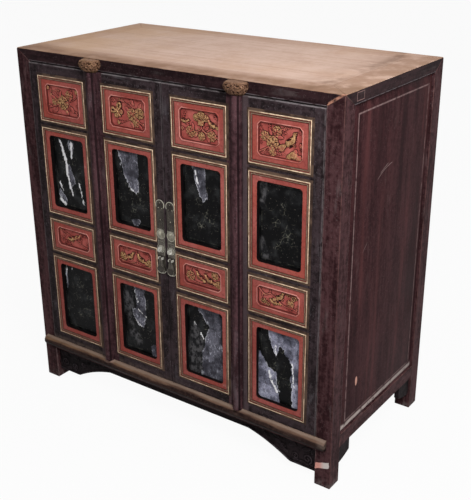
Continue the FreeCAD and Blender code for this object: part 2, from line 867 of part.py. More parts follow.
def lock_eye(name, centre, face):
    """The lug that a padlock's bar passes through."""
    half = size("eye_thickness") / 2
    reach = face - size("eye_reach")
    radius = size("eye_radius")
    level = eye_level
    stem = box(name + " eye stem", (centre - half, centre + half), (reach, face), (level - radius, level + radius))
    ring = cylinder(
        name + " eye ring", radius, size("eye_thickness"), centre - half, reach, level, ALONG_WIDTH)
    bore = cylinder(
        name + " eye bore", size("eye_bore_radius"), size("eye_thickness"), centre - half, reach, level, ALONG_WIDTH)
    return cut(name + " lock eye", fuse(name + " eye body", [stem, ring]), [bore])


def pull_staple(name, centre, face):
    """Two ears and the pin that the pull hangs on."""
    level = pull_level
    axis_y = face - size("pull_pivot_reach")
    radius = size("pull_knuckle_radius")
    inner = size("pull_knuckle_width") / 2 + size("pull_knuckle_gap")
    outer = inner + size("pull_ear_thickness")
    pieces = [cylinder(
        name + " pull pin", size("pull_pin_radius"), outer * 2, centre - outer, axis_y, level, ALONG_WIDTH)]
    for ear in (LEFT, RIGHT):
        low, high = mirrored_span(ear, inner, outer)
        pieces.append(box(
            name + " pull ear", (centre + low, centre + high), (axis_y - radius, face),
            (level - radius, level + radius)))
    return fuse(name + " pull staple", pieces)


def drop_pull(name, centre, face):
    """A leaf-shaped pull on a knuckle."""
    level = pull_level
    axis_y = face - size("pull_pivot_reach")
    half_width_top = size("pull_knuckle_width") / 2
    half_thickness = size("pull_thickness") / 2
    radius = size("pull_radius")
    disc_level = level - size("pull_length") + radius
    knuckle = cylinder(
        name + " knuckle", size("pull_knuckle_radius"), size("pull_knuckle_width"), centre - half_width_top,
        axis_y, level, ALONG_WIDTH)
    neck = new_body(name + " pull neck")
    neck_level = level - size("pull_neck_length")
    outline = [
        (centre - half_width_top, level), (centre - half_width_top, neck_level), (centre - radius, disc_level),
        (centre + radius, disc_level), (centre + half_width_top, neck_level), (centre + half_width_top, level)]
    pad(neck, "XZ_Plane", [outline], (axis_y - half_thickness, axis_y + half_thickness))
    disc = cylinder(
        name + " pull disc", radius, size("pull_thickness"), centre, axis_y + half_thickness, disc_level, ALONG_FRONT)
    bore = cylinder(
        name + " knuckle bore", size("pull_pin_radius") + size("pull_pin_clearance"), size("pull_knuckle_width"),
        centre - half_width_top, axis_y, level, ALONG_WIDTH)
    node(cut(name + "_drop_pull", fuse(name + " pull body", [knuckle, neck, disc]), [bore]))


corner_posts(bottom_rails())
top_frame()
base_bead()
apron()
side_brackets()
side_panels()
floor_back_and_shelf()
pivot_bosses()
for leaf_side in (LEFT, RIGHT):
    fixed_leaf(leaf_side)
    door(leaf_side)
doc.recompute()

faults = [item.Label for item in doc.Objects if "Invalid" in item.State or "Error" in item.State]
faults += [item.Label for item in nodes if item.Shape.isNull() or not item.Shape.isValid()]
if faults:
    raise RuntimeError("faulty pieces: " + ", ".join(faults))

os.makedirs("parts", exist_ok=True)
for item in nodes:
    item.Shape.exportStep("parts/%s.step" % item.Label)
print("%d nodes, %d solids" % (len(nodes), sum(len(item.Shape.Solids) for item in nodes)))
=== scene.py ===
import json
import math

import bmesh
import bpy
import numpy as np
from mathutils import Matrix, Vector

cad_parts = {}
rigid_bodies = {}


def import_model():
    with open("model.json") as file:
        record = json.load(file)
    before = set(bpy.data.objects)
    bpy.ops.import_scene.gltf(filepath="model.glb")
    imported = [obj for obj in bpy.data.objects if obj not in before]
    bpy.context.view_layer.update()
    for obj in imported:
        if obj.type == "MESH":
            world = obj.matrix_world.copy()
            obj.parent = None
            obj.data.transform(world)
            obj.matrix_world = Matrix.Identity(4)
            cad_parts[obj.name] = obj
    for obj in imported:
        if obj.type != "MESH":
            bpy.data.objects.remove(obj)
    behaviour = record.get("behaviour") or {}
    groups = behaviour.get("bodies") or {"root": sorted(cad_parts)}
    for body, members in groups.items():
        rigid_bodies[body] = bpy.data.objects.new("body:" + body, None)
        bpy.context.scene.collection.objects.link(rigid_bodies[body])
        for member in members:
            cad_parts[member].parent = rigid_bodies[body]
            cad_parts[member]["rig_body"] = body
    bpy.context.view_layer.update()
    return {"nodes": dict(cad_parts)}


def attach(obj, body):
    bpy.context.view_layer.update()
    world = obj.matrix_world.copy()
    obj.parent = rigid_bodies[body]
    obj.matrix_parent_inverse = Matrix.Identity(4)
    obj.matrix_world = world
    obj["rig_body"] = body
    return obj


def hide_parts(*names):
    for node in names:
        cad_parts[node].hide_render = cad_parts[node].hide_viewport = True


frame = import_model()

# Levels from front to back, in mm
MM = 0.001
FRONT = -235.0
LEAF_FACE = FRONT - 2.0
BOARD_FACE = FRONT - 1.0
CARVED_GROUND = FRONT + 4.0
CARVED_BACK = FRONT + 4.6
LACQUER_FACE = FRONT + 10.0
LACQUER_BACK = FRONT + 16.0
PLATE_FACE = FRONT - 3.5
PULL_FACE = FRONT - 9.6
PULL_BACK = FRONT - 8.4
APRON_FACE = FRONT + 12.0
APRON_BACK = FRONT + 13.0
MIDDLE = 15.0

# How far the red borders reach in from the edge of an opening, in mm
BOARD_BORDER = 20.0
CARVED_BORDER = 21.0
CARVED_SIDE_BORDER = 23.0

# Left and right edge of each leaf's openings, and the bottom and top of each row, in mm
LEAVES = {
    "fixed_leaf_left": ("carcass", -422.0, -258.5),
    "door_left": ("door_left", -193.5, -32.0),
    "door_right": ("door_right", 32.0, 193.5),
    "fixed_leaf_right": ("carcass", 258.5, 422.0),
}
CARVED_ROWS = {"upper": (815.0, 935.0), "lower": (436.0, 530.0)}
LACQUER_ROWS = {"tall": (551.0, 794.0), "low": (172.0, 415.0)}


def tint(red, green, blue):
    """A screen colour from 0 to 255 as the linear colour that a shader takes."""
    parts = [value / 255 for value in (red, green, blue)]
    linear = [v / 12.92 if v <= 0.04045 else ((v + 0.055) / 1.055) ** 2.4 for v in parts]
    return (*linear, 1.0)


class Wire:
    """One socket of a node tree. Arithmetic on it adds Math nodes."""

    def __init__(self, nodes, socket):
        self.nodes = nodes
        self.socket = socket

    def math(self, operation, first, second=0.0):
        return self.nodes.node("ShaderNodeMath", {"operation": operation}, {0: first, 1: second})

    def __add__(self, other):
        return self.math("ADD", self, other)

    __radd__ = __add__

    def __sub__(self, other):
        return self.math("SUBTRACT", self, other)

    def __rsub__(self, other):
        return self.math("SUBTRACT", other, self)

    def __mul__(self, other):
        return self.math("MULTIPLY", self, other)

    __rmul__ = __mul__

    def __abs__(self):
        return self.math("ABSOLUTE", self)

    def most(self, other):
        return self.math("MAXIMUM", self, other)

    def rise(self, low, high):
        """Goes smoothly from 0 at low to 1 at high, and falls where low is the larger."""
        sockets = {"Value": self, "From Min": low, "From Max": high}
        return self.nodes.node("ShaderNodeMapRange", {"interpolation_type": "SMOOTHSTEP"}, sockets)


class Nodes:
    """A node tree while it is built. Every node comes from its one node method."""

    def __init__(self, tree):
        self.tree = tree
        tree.nodes.clear()

    def node(self, kind, settings=None, sockets=None, out=0):
        made = self.tree.nodes.new(kind)
        for name, value in (settings or {}).items():
            setattr(made, name, value)
        for key, value in (sockets or {}).items():
            if isinstance(value, Wire):
                self.tree.links.new(value.socket, made.inputs[key])
            else:
                made.inputs[key].default_value = value
        return Wire(self, made.outputs[out]) if made.outputs else None


class Finish(Nodes):
    """A material while it is mixed. Its colour is what the tones laid so far come to."""

    def __init__(self, name):
        self.material = bpy.data.materials.new(name)
        self.material.use_nodes = True
        super().__init__(self.material.node_tree)
        self.colour = None
        self.place = self.node("ShaderNodeTexCoord", out="Object")
        self.x, self.y, self.z = (
            self.node("ShaderNodeSeparateXYZ", None, {"Vector": self.place}, axis) for axis in "XYZ"
        )

    def noise(self, scale, stretch=(1, 1, 1), detail=4.0, shift=0.0):
        sockets = {"Vector": self.place, "Location": (shift, shift, shift), "Scale": stretch}
        at = self.node("ShaderNodeMapping", None, sockets)
        sockets = {"Vector": at, "Scale": scale, "Detail": detail, "Roughness": 0.6}
        return self.node("ShaderNodeTexNoise", None, sockets)

    def mark(self, name):
        """A number that the piece's own mesh carries."""
        return self.node("ShaderNodeAttribute", {"attribute_name": name}, None, "Fac")

    def ahead(self, y, soft=0.004):
        """1 in front of the plane at y, in metres, and 0 behind it."""
        return (self.y - y).rise(0.0, -soft)

    def patch(self, centre, radii):
        """1 in a ragged spot of the given radii, in metres, and 0 outside it."""
        away = self.place
        for operation, part in (("SUBTRACT", centre), ("DIVIDE", radii)):
            away = self.node("ShaderNodeVectorMath", {"operation": operation}, {0: away, 1: part})
        far = self.node("ShaderNodeVectorMath", {"operation": "LENGTH"}, {0: away}, "Value")
        edge = self.noise(75, detail=5.0, shift=11.0) - 0.5
        return (far + 0.7 * edge).rise(1.06, 0.94)

    def blend(self, share, under, over):
        """A mix of two colours, each a wire or a screen colour."""
        under, over = (part if isinstance(part, Wire) else tint(*part) for part in (under, over))
        settings = {"data_type": "RGBA", "clamp_factor": True}
        return self.node("ShaderNodeMix", settings, {0: share, 6: under, 7: over}, 2)

    def start(self, share, under, over):
        self.colour = self.blend(share, under, over)

    def glaze(self, share, over):
        """Lays one more tone over the colour."""
        self.colour = self.blend(share, self.colour, over)

    def close(self, roughness, height, depth=0.25, specular=0.02, metallic=0.0):
        """Ends the finish: depth is how far, in mm, height 1 stands over height 0."""
        sockets = {"Height": height, "Distance": depth * MM, "Strength": 1.0}
        bump = self.node("ShaderNodeBump", None, sockets)
        sockets = {
            "Base Color": self.colour,
            "Roughness": roughness,
            "Metallic": metallic,
            "Specular IOR Level": specular,
            "Normal": bump,
        }
        shader = self.node("ShaderNodeBsdfPrincipled", None, sockets)
        self.node("ShaderNodeOutputMaterial", None, {"Surface": shader})
        return self.material


# Places that the finishes follow, in metres: the leaves' edges and the stiles beside the columns
LEAF_TOP, LEAF_OUTER, BESIDE_COLUMN = 0.9655, 0.4530, 0.247
# The front posts' edges beside the side panels and beside the leaves
POST_INNER, POST_ARRIS = -0.1905, 0.4562
# Planes a little behind the cabinet's front: ahead of them arrises are rubbed and wood is bare
RUBBED_PLANE, BARE_PLANE = -0.230, -0.228
# The middle of the knock on the right front foot, and how it slants
KNOCK_X, KNOCK_Z, KNOCK_SLOPE = 0.4765, 0.06318, 0.36
# Half the depth, the middle and half the height of the side panels' raised fields
FIELD_DEEP, FIELD_MIDDLE, FIELD_HIGH = 0.180, 0.5545, 0.3905
# Where the rails of the top meet on the front, and the tenon's end on the side
MITRE_X, MITRE_Z, MITRE_SLOPE = 0.455, 0.970, 0.667
TENON_Y, TENON_Z, TENON_WIDE, TENON_HIGH = -0.167, 0.986, 0.016, 0.009

# How the noise is drawn out along the grain of a member, and of a broad board
GRAIN = {"x": (0.06, 1, 1), "y": (1, 0.06, 1), "z": (1, 1, 0.06)}
BOARD_GRAIN = {"x": (0.22, 1, 1), "y": (1, 0.22, 1), "z": (1, 1, 0.22)}

# Old lacquer: its deep and its lifted tone, its scuffs, and what shows along worn arrises
POST = ((39, 21, 23), (74, 49, 51), (98, 84, 84), (116, 86, 80))
LEAF = ((26, 20, 21), (58, 47, 50), (92, 86, 90))
COLUMN = ((46, 29, 32), (80, 55, 59), (104, 90, 94), (104, 84, 86))
SIDE = ((41, 21, 23), (61, 35, 37), (88, 68, 68), (120, 92, 88))
APRON = ((17, 13, 14), (38, 31, 33), (62, 55, 57), (58, 50, 51))
RAIL_EDGE = ((25, 14, 16), (46, 30, 32), (88, 78, 78), (104, 86, 82))
BEAD = ((30, 20, 19), (56, 40, 36), (92, 78, 72), (104, 84, 74))


def lacquer_layers(coat, grain, deep, lift, scuff, bare=None, worn=0.55):
    """Old lacquer, streaked, scuffed and worn along its arrises. Gives its roughness and height."""
    streak = coat.noise(110, GRAIN[grain], detail=5.0)
    broad = coat.noise(24, BOARD_GRAIN[grain], detail=5.0, shift=4.0)
    cloud = coat.noise(8, shift=3.0)
    rubbed = coat.noise(42, BOARD_GRAIN[grain], 8.0, 7.0).rise(0.54, 0.68) * cloud.rise(0.44, 0.60)
    scratch = coat.noise(340, GRAIN[grain], 2.0, 9.0).rise(0.69, 0.74) * broad.rise(0.5, 0.62)
    fine = coat.noise(420, detail=2.0)
    speck = coat.noise(260, detail=2.0, shift=21.0).rise(0.62, 0.69) * cloud.rise(0.34, 0.54)
    mottle = coat.noise(95, detail=7.0, shift=17.0)
    tone = 0.3 * streak + 0.35 * broad + 0.35 * mottle
    coat.start(tone.rise(0.42, 0.58), deep, lift)
    coat.glaze(rubbed * 0.5, scuff)
    coat.glaze(scratch.most(speck) * 0.6, scuff)
    edge = coat.mark("arris") * coat.noise(55, detail=5.0, shift=1.0).rise(0.30, 0.56)
    if bare:
        coat.glaze(edge * worn, bare)
    roughness = 0.42 + 0.16 * cloud + 0.2 * rubbed + 0.15 * edge
    height = 0.6 * streak + 0.25 * fine - 0.35 * rubbed - 0.3 * scratch
    return roughness, height


def lacquer(name, grain, tones):
    coat = Finish(name)
    return coat.close(*lacquer_layers(coat, grain, *tones))


def leaf_lacquer(name, grain):
    """Black lacquer of a leaf's frame, rubbed pale along the leaf's own outer edges."""
    coat = Finish(name)
    roughness, height = lacquer_layers(coat, grain, *LEAF)
    broken = coat.noise(46, detail=5.0, shift=8.0).rise(0.34, 0.56)
    top = (coat.z - LEAF_TOP).rise(-0.0022, -0.0008)
    middle = abs(coat.x).rise(0.0040, 0.0028)
    outer = abs(coat.x).rise(LEAF_OUTER - 0.0012, LEAF_OUTER)
    high = coat.z.rise(0.60, 0.80)
    edge = top.most(middle * (0.06 + 0.16 * high)).most(outer * 0.4) * broken
    coat.glaze(edge * 0.65, (128, 121, 122))
    beside = abs(abs(coat.x) - BESIDE_COLUMN).rise(0.013, 0.005)
    coat.glaze(beside * 0.45, (96, 80, 83))
    dusty = coat.z.rise(0.158, 0.146) * broken * coat.x.rise(0.2, -0.3)
    coat.glaze(dusty * 0.4, (112, 96, 88))
    return coat.close(roughness, height, specular=0.03)


def post_lacquer():
    """The posts: streaked lacquer, pale along the side panels, with dusty feet and one knocked foot."""
    coat = Finish("dark_lacquer_upright")
    roughness, height = lacquer_layers(coat, "z", *POST, 0.3)
    ragged = coat.noise(90, detail=5.0, shift=11.0) - 0.5
    inner = abs(coat.y - POST_INNER).rise(0.0016, 0.0004)
    coat.glaze(inner * ragged.rise(-0.16, 0.06) * 0.5, (150, 124, 122))
    arris = abs(abs(coat.x) - POST_ARRIS).rise(0.0020, 0.0008) * coat.ahead(RUBBED_PLANE)
    coat.glaze(arris * ragged.rise(-0.16, 0.06) * 0.35, (140, 120, 120))
    aside = coat.x - KNOCK_X
    slant = coat.z - KNOCK_Z - KNOCK_SLOPE * aside + ragged * 0.006
    across = abs(aside + ragged * 0.008)
    knock = abs(slant).rise(0.0092, 0.0076) * across.rise(0.0200, 0.0180) * coat.ahead(BARE_PLANE)
    wood = coat.blend((coat.x - 0.466).rise(0.0, 0.018), (208, 146, 134), (200, 190, 186))
    coat.glaze(knock, wood)
    dust = coat.z.rise(0.030, 0.004) * coat.noise(60, detail=5.0, shift=2.0).rise(0.42, 0.62)
    coat.glaze(dust * 0.45, (112, 102, 100))
    return coat.close(roughness + 0.2 * knock, height - 1.2 * knock)


def column_lacquer():
    """The round pivot stiles, with dirt and painted shade along both edges of the reed down their front.
    """
    coat = Finish("column_lacquer")
    roughness, height = lacquer_layers(coat, "z", *COLUMN)
    aside = abs(abs(coat.x) - COLUMN_X * MM)
    quirk_dirt_and_shade = abs(aside - 0.0100).rise(0.0021, 0.0008) * coat.ahead(-0.244, 0.003)
    # Dirt with painted shade in the quirks beside the reed
    coat.glaze(quirk_dirt_and_shade * 0.85, (24, 15, 17))
    return coat.close(roughness, height)


# Curved scratches on the sides: height and y where each starts, its rise along y, its bend and its end
SIDE_SCRATCHES = (
    (0.7645, -0.063, 0.62, -3.5, 0.018),
    (0.7760, -0.050, 0.56, -3.0, -0.002),
    (0.600, -0.118, 0.9, -2.0, -0.09),
)


def side_panel_lacquer():
    """The sides: maroon lacquer, a rubbed line round the raised field, painted shade along the panel's
    edge by the frame, and dust on the lower bevel.
    """
    coat = Finish("side_lacquer")
    roughness, height = lacquer_layers(coat, "z", *SIDE)
    ragged = coat.noise(60, detail=5.0, shift=6.0)
    broad = coat.noise(7, (1, 1, 0.35), detail=4.0, shift=15.0)
    coat.glaze(broad.rise(0.48, 0.66) * 0.4, (36, 18, 20))
    band = coat.noise(22, (1, 1, 0.07), detail=5.0, shift=23.0)
    coat.glaze(band.rise(0.51, 0.66) * 0.55, (30, 14, 16))
    coat.glaze(band.rise(0.47, 0.33) * 0.4, (90, 52, 52))
    across = coat.y - MIDDLE * MM
    edge = (abs(across) - FIELD_DEEP).most(abs(coat.z - FIELD_MIDDLE) - FIELD_HIGH)
    line = abs(edge).rise(0.0026, 0.0009) * ragged.rise(0.30, 0.56)
    coat.glaze(line * 0.55, (150, 126, 124))
    # Painted shade: near black along the panel's edge where it meets the frame
    coat.glaze(edge.rise(0.0195, 0.0235) * 0.8, (18, 12, 13))
    dust = coat.z.rise(0.160, 0.149) * ragged.rise(0.30, 0.50)
    coat.glaze(dust * 0.9, (196, 182, 176))
    for start, near, slope, bend, far in SIDE_SCRATCHES:
        along = coat.y - near
        path = coat.z - start - slope * along - bend * along * along
        within = along.rise(0.0, 0.01) * (coat.y - far).rise(0.0, -0.01)
        scratch = abs(path + (ragged - 0.5) * 0.002).rise(0.0015, 0.0005) * within
        coat.glaze(scratch * 0.65, (138, 116, 114))
    chip = coat.patch((0.5, -0.114, 0.255), (0.008, 0.0055, 0.0125))
    coat.glaze(chip, (198, 150, 134))
    return coat.close(roughness + 0.2 * chip, height - 1.5 * chip)


def apron_lacquer():
    """Near black lacquer whose carving has painted shade in the hollows, and is a little rubbed, with a
    painted highlight, on the ridges.
    """
    coat = Finish("apron_lacquer")
    roughness, height = lacquer_layers(coat, "x", *APRON)
    hollow = coat.mark("hollow")
    # Painted shade in the carving's hollows
    coat.glaze(hollow.rise(0.1, 0.8) * 0.8, (8, 7, 8))
    rub = coat.noise(40, detail=4.0, shift=3.0).rise(0.40, 0.62)
    # Rubbed wear with a painted highlight on the ridges
    coat.glaze(hollow.rise(-0.2, -0.8) * rub * 0.55, (66, 58, 62))
    return coat.close(roughness, height)


def top_wood_layers(coat, grain):
    """The rubbed bare top: pink tan wood, browner toward its edges. Gives its roughness and height."""
    streak = coat.noise(60, GRAIN[grain], detail=6.0)
    cloud = coat.noise(5, detail=5.0, shift=2.0)
    blot = coat.noise(14, detail=6.0, shift=5.0)
    rim = (abs(coat.x) * 2.0).most(abs(coat.y - MIDDLE * MM) * 4.0)
    dull = 0.35 * streak + 0.4 * blot + 0.25 * coat.noise(70, detail=6.0, shift=19.0)
    coat.start(dull.rise(0.36, 0.64), (184, 153, 136), (202, 174, 159))
    coat.glaze(cloud.rise(0.5, 0.72) * 0.5, (184, 149, 124))
    soiled = rim.rise(0.64, 1.04) * blot.rise(0.34, 0.66)
    coat.glaze(soiled * 0.7, (156, 120, 92))
    left = (0.0 - coat.x).rise(0.05, 0.45) * cloud.rise(0.28, 0.58)
    coat.glaze(left * 0.55, (186, 151, 118))
    right = (coat.x - 0.28).rise(0.0, 0.18) * blot.rise(0.34, 0.56)
    coat.glaze(right * 0.6, (140, 109, 90))
    corner = (coat.x - 0.30).rise(0.0, 0.16) * (coat.y + 0.10).rise(0.0, -0.12)
    coat.glaze(corner * blot.rise(0.34, 0.52) * 0.8, (112, 87, 68))
    front = (coat.y + 0.14 + 0.08 * (cloud - 0.5)).rise(0.0, -0.07)
    coat.glaze(front * (0.6 + 0.4 * blot.rise(0.36, 0.60)), (138, 108, 89))
    nick = coat.noise(120, GRAIN["x"], 3.0, 12.0).rise(0.66, 0.71) * blot.rise(0.44, 0.6)
    coat.glaze(nick * 0.5, (140, 104, 86))
    bend = coat.x + (cloud - 0.5) * 0.05
    smear = abs(bend - 0.405).rise(0.024, 0.002) * blot.rise(0.40, 0.62)
    coat.glaze(smear * 0.5, (104, 78, 62))
    return 0.55 + 0.2 * cloud, 0.7 * streak + 0.3 * blot


def bare_top_wood():
    coat = Finish("bare_top_wood")
    roughness, height = top_wood_layers(coat, "x")
    coat.glaze(coat.mark("arris") * 0.6, (118, 88, 72))
    return coat.close(roughness, height, depth=0.3, specular=0.15)


def top_rail_lacquer(grain):
    """Dark lacquer on the rail's edge, and bare wood where the top has been rubbed."""
    coat = Finish("top_rail_" + grain)
    edge_roughness, edge_height = lacquer_layers(coat, grain, *RAIL_EDGE)
    edge_colour = coat.colour
    top_roughness, top_height = top_wood_layers(coat, grain)
    ragged = coat.noise(70, detail=5.0) - 0.5
    over = (coat.z + ragged * 0.002).rise(0.9986, 0.9994)
    coat.start(over, edge_colour, coat.colour)
    outward = coat.x - MITRE_X
    mitre = coat.z - MITRE_Z - MITRE_SLOPE * outward
    rubbed = (mitre + ragged * 0.012).rise(0.0070, 0.0045)
    rubbed = rubbed * outward.rise(0.0, 0.004) * coat.ahead(BARE_PLANE)
    coat.glaze(rubbed * ragged.rise(-0.22, 0.02) * 0.85, (172, 122, 102))
    under = coat.z.rise(0.9728, 0.9714) * ragged.rise(-0.14, 0.05)
    coat.glaze(under * 0.5, (124, 116, 120))
    aside = abs(coat.y - TENON_Y) - TENON_WIDE
    above = abs(coat.z - TENON_Z) - TENON_HIGH
    tenon = abs(aside.most(above)).rise(0.0012, 0.0005) * (coat.x - 0.4).rise(0.0, 0.01)
    coat.glaze(tenon * 0.6, (142, 112, 108))
    roughness = edge_roughness * (1 - over) + top_roughness * over
    height = edge_height * (1 - over) + top_height * over - 0.6 * tenon
    return coat.close(roughness, height, depth=0.3, specular=0.03)


def red_lacquer(name, wall_shade):
    """Vermilion gone dull and rubbed, on boards whose cut walls are painted dark as shade."""
    coat = Finish(name)
    cloud = coat.noise(11, detail=5.0)
    drift = coat.noise(9, detail=3.0, shift=13.0)
    fine = coat.noise(160, detail=5.0, shift=4.0)
    spot = coat.noise(48, detail=4.0, shift=9.0).rise(0.65, 0.74)
    coat.start(cloud.rise(0.3, 0.7), (144, 71, 65), (171, 95, 88))
    coat.glaze(drift.rise(0.46, 0.64) * 0.5, (164, 76, 62))
    coat.glaze(fine.rise(0.46, 0.70) * 0.5, (108, 48, 45))
    coat.glaze(spot * 0.5, (202, 150, 138))
    # Painted shade: the red darkens toward the bottom, where less lamp light falls
    coat.glaze(coat.z.rise(0.66, 0.20) * 0.2, (84, 42, 40))
    # Darker along the arrises: dirt, with painted shade beside the mouldings
    edge = coat.mark("arris") * fine.rise(0.35, 0.6)
    coat.glaze(edge * 0.6, (96, 40, 34))
    hollow = coat.mark("hollow")
    # Painted shade at the foot of the lip round a carved field
    coat.glaze(hollow.rise(0.25, 0.9) * 0.85, (58, 20, 19))
    # A pale crest on the lip: rubbed lacquer with a painted highlight
    crest = hollow.rise(-0.2, -0.8) * cloud.rise(0.34, 0.56)
    coat.glaze(crest * 0.8, (222, 160, 148))
    # Painted shade: the faces that do not look to the front take the dark wall colour
    coat.glaze(coat.mark("wall_shade"), wall_shade)
    roughness = 0.46 + 0.2 * cloud + 0.15 * spot
    return coat.close(roughness, 0.5 * fine - 0.6 * spot, depth=0.3, specular=0.04)


def carved_gilding():
    """Gold over red lacquer, red on the ground, with painted shade in the hollows and a painted
    highlight on the ridges.
    """
    coat = Finish("carved_gilding")
    gilt = coat.mark("gilding")
    hollow = coat.mark("hollow")
    rub = coat.noise(240, detail=4.0)
    cloud = coat.noise(34, detail=4.0, shift=2.0)
    gold = coat.blend(rub.rise(0.35, 0.65), (122, 83, 53), (194, 154, 110))
    ground = coat.blend(cloud.rise(0.34, 0.66), (152, 71, 65), (182, 98, 90))
    kept = (0.74 * gilt - 0.8 * hollow + 1.6 * (cloud - 0.5) + 0.9 * (rub - 0.5)).rise(0.44, 0.76)
    coat.start(kept, ground, gold)
    # Painted shade: near black in the hollows and the cut pockets
    coat.glaze(hollow.rise(0.07, 0.5) * 0.97, (26, 11, 8))
    # Painted highlight: pale gold on gilt ridges, pale red on bare ones
    ridge_highlight = hollow.rise(-0.24, -0.75)
    coat.glaze(ridge_highlight * kept * 0.9, (246, 222, 184))
    coat.glaze(ridge_highlight * (1 - kept) * 0.6, (210, 138, 122))
    return coat.close(0.5 + 0.15 * rub, rub, depth=0.2, specular=0.06, metallic=kept * 0.15)


def painted_black_lacquer():
    """Black lacquer over a grey ground, flaked where the mesh marks it, with faint gold painting."""
    coat = Finish("painted_black_lacquer")
    ragged = coat.noise(48, (1.7, 1, 0.7), detail=9.0) - 0.5
    jagged = coat.noise(190, (1.4, 1, 0.6), detail=5.0, shift=2.0) - 0.5
    grain = coat.noise(320, detail=4.0, shift=3.0)
    cloud = coat.noise(26, detail=6.0, shift=6.0)
    bared = coat.mark("bared") + 26.0 * ragged + 12.0 * jagged
    chalk = (coat.mark("chalk") + 8.0 * ragged + 16.0 * jagged).rise(-0.3, 0.3)
    flake = bared.rise(-0.4, 0.4)
    lip = abs(bared - 0.9).rise(1.9, 0.3) * cloud.rise(0.42, 0.58)
    coat.start(cloud.rise(0.46, 0.70) * 0.7, (10, 10, 11), (48, 49, 50))
    speck = coat.noise(230, detail=2.0, shift=8.0).rise(0.67, 0.72)
    coat.glaze(speck * 0.5, (118, 110, 104))
    broken = coat.noise(110, detail=4.0, shift=16.0).rise(0.42, 0.60)
    painted = coat.mark("stroke").rise(0.95, 0.25) * cloud.rise(0.40, 0.56) * broken
    coat.glaze(painted * 0.7, (116, 114, 102))
    fleck = coat.noise(95, (1, 1, 0.8), detail=10.0, shift=27.0)
    thin = (coat.mark("worn") + 40.0 * ragged).rise(-6.0, 8.0)
    coat.glaze(thin * 0.8, coat.blend(fleck.rise(0.38, 0.58), (88, 86, 88), (22, 22, 24)))
    film = coat.colour
    patchy = cloud.rise(0.34, 0.64)
    pale = coat.blend(patchy, (84, 84, 98), (160, 160, 180))
    coat.start(patchy, (56, 55, 62), (112, 111, 122))
    coat.glaze(coat.x.rise(0.22, 0.27), pale)
    coat.glaze(grain.rise(0.46, 0.66) * 0.55, (44, 44, 50))
    coat.glaze(fleck.rise(0.50, 0.64) * 0.6, (34, 34, 38))
    bright = jagged.rise(0.05, 0.17) * cloud.rise(0.40, 0.60)
    coat.glaze(bright * 0.75, (200, 200, 214))
    coat.start(flake, film, coat.colour)
    # A pale rim at the flakes' edges: chalky ground with a painted highlight on the curled film
    coat.glaze(lip * flake * 0.8, (204, 204, 212))
    coat.glaze(chalk * 0.95, (232, 230, 232))
    lifted = flake.most(chalk)
    roughness = 0.26 + 0.5 * lifted + 0.15 * cloud
    return coat.close(roughness, 1 - 0.9 * lifted + 0.15 * grain, depth=0.45, specular=0.05)


def gilt_moulding():
    """Gilding left pale on the crests, dull on the slopes and lost to dark red in the hollows."""
    coat = Finish("gilt_moulding")
    tone = coat.mark("hollow")
    rub = coat.noise(120, detail=5.0)
    wear = coat.noise(26, detail=5.0, shift=4.0)
    crest = coat.blend(rub.rise(0.3, 0.7), (180, 150, 122), (236, 208, 178))
    crest = coat.blend(wear.rise(0.48, 0.64) * 0.75, crest, (126, 100, 82))
    slope = coat.blend(wear.rise(0.38, 0.62), (48, 36, 32), (90, 72, 61))
    coat.start(tone.rise(-0.3, 0.35), crest, slope)
    coat.glaze(tone.rise(0.65, 0.95) * 0.9, (116, 54, 47))
    # Painted shade: darker toward the bottom, where less lamp light falls
    coat.glaze(coat.z.rise(0.66, 0.20) * 0.2, (52, 40, 34))
    return coat.close(0.45 + 0.2 * wear, rub, depth=0.2, specular=0.06, metallic=0.1)


def gilt_boss():
    coat = Finish("gilt_boss")
    hollow = coat.mark("hollow")
    rub = coat.noise(190, detail=5.0)
    cloud = coat.noise(40, detail=4.0, shift=5.0)
    coat.start(rub.rise(0.3, 0.7), (90, 62, 45), (144, 110, 88))
    coat.glaze(cloud.rise(0.5, 0.66) * 0.4, (104, 78, 44))
    # Painted shade in the carving's hollows, and a painted highlight on its ridges
    coat.glaze(hollow.rise(0.05, 0.65) * 0.95, (38, 19, 10))
    coat.glaze(hollow.rise(-0.25, -0.8) * 0.8, (224, 192, 160))
    coat.glaze(coat.x.rise(0.0, 0.2) * 0.22, (56, 40, 36))
    return coat.close(0.5 + 0.2 * rub, rub, depth=0.3, specular=0.06, metallic=0.1)


def worn_moulding():
    """The half round at the base: dark lacquer, rubbed to brown wood along its top, with a painted
    highlight on its top and painted shade on its underside.
    """
    coat = Finish("worn_moulding")
    roughness, height = lacquer_layers(coat, "x", *BEAD)
    rub = coat.noise(34, (0.2, 1, 1), detail=6.0)
    crest = (coat.z + (rub - 0.5) * 0.022).rise(0.1305, 0.1360)
    wood = coat.blend(rub.rise(0.3, 0.7), (78, 57, 47), (124, 98, 82))
    golden = (0.0 - coat.x).rise(-0.1, 0.4) * rub.rise(0.36, 0.6)
    wood = coat.blend(golden * 0.35, wood, (132, 98, 66))
    # Painted highlight along the very top of the bead
    ridge_highlight = (coat.z + (rub - 0.5) * 0.006).rise(0.1360, 0.1400)
    wood = coat.blend(ridge_highlight * 0.65, wood, (150, 130, 116))
    # Painted shade on the bead's underside
    coat.glaze(coat.z.rise(0.126, 0.115) * 0.85, (20, 14, 14))
    coat.glaze(crest * 0.85, wood)
    pivot = abs(abs(coat.x) - COLUMN_X * MM).rise(0.022, 0.006) * crest
    coat.glaze(pivot * rub.rise(0.38, 0.6) * 0.7, (178, 146, 136))
    end = (coat.x - 0.462).rise(0.0, 0.014) * coat.z.rise(0.116, 0.128)
    coat.glaze(end * rub.rise(0.34, 0.60) * 0.45, (128, 111, 101))
    return coat.close(roughness + 0.12 * crest, height, depth=0.3, specular=0.03)


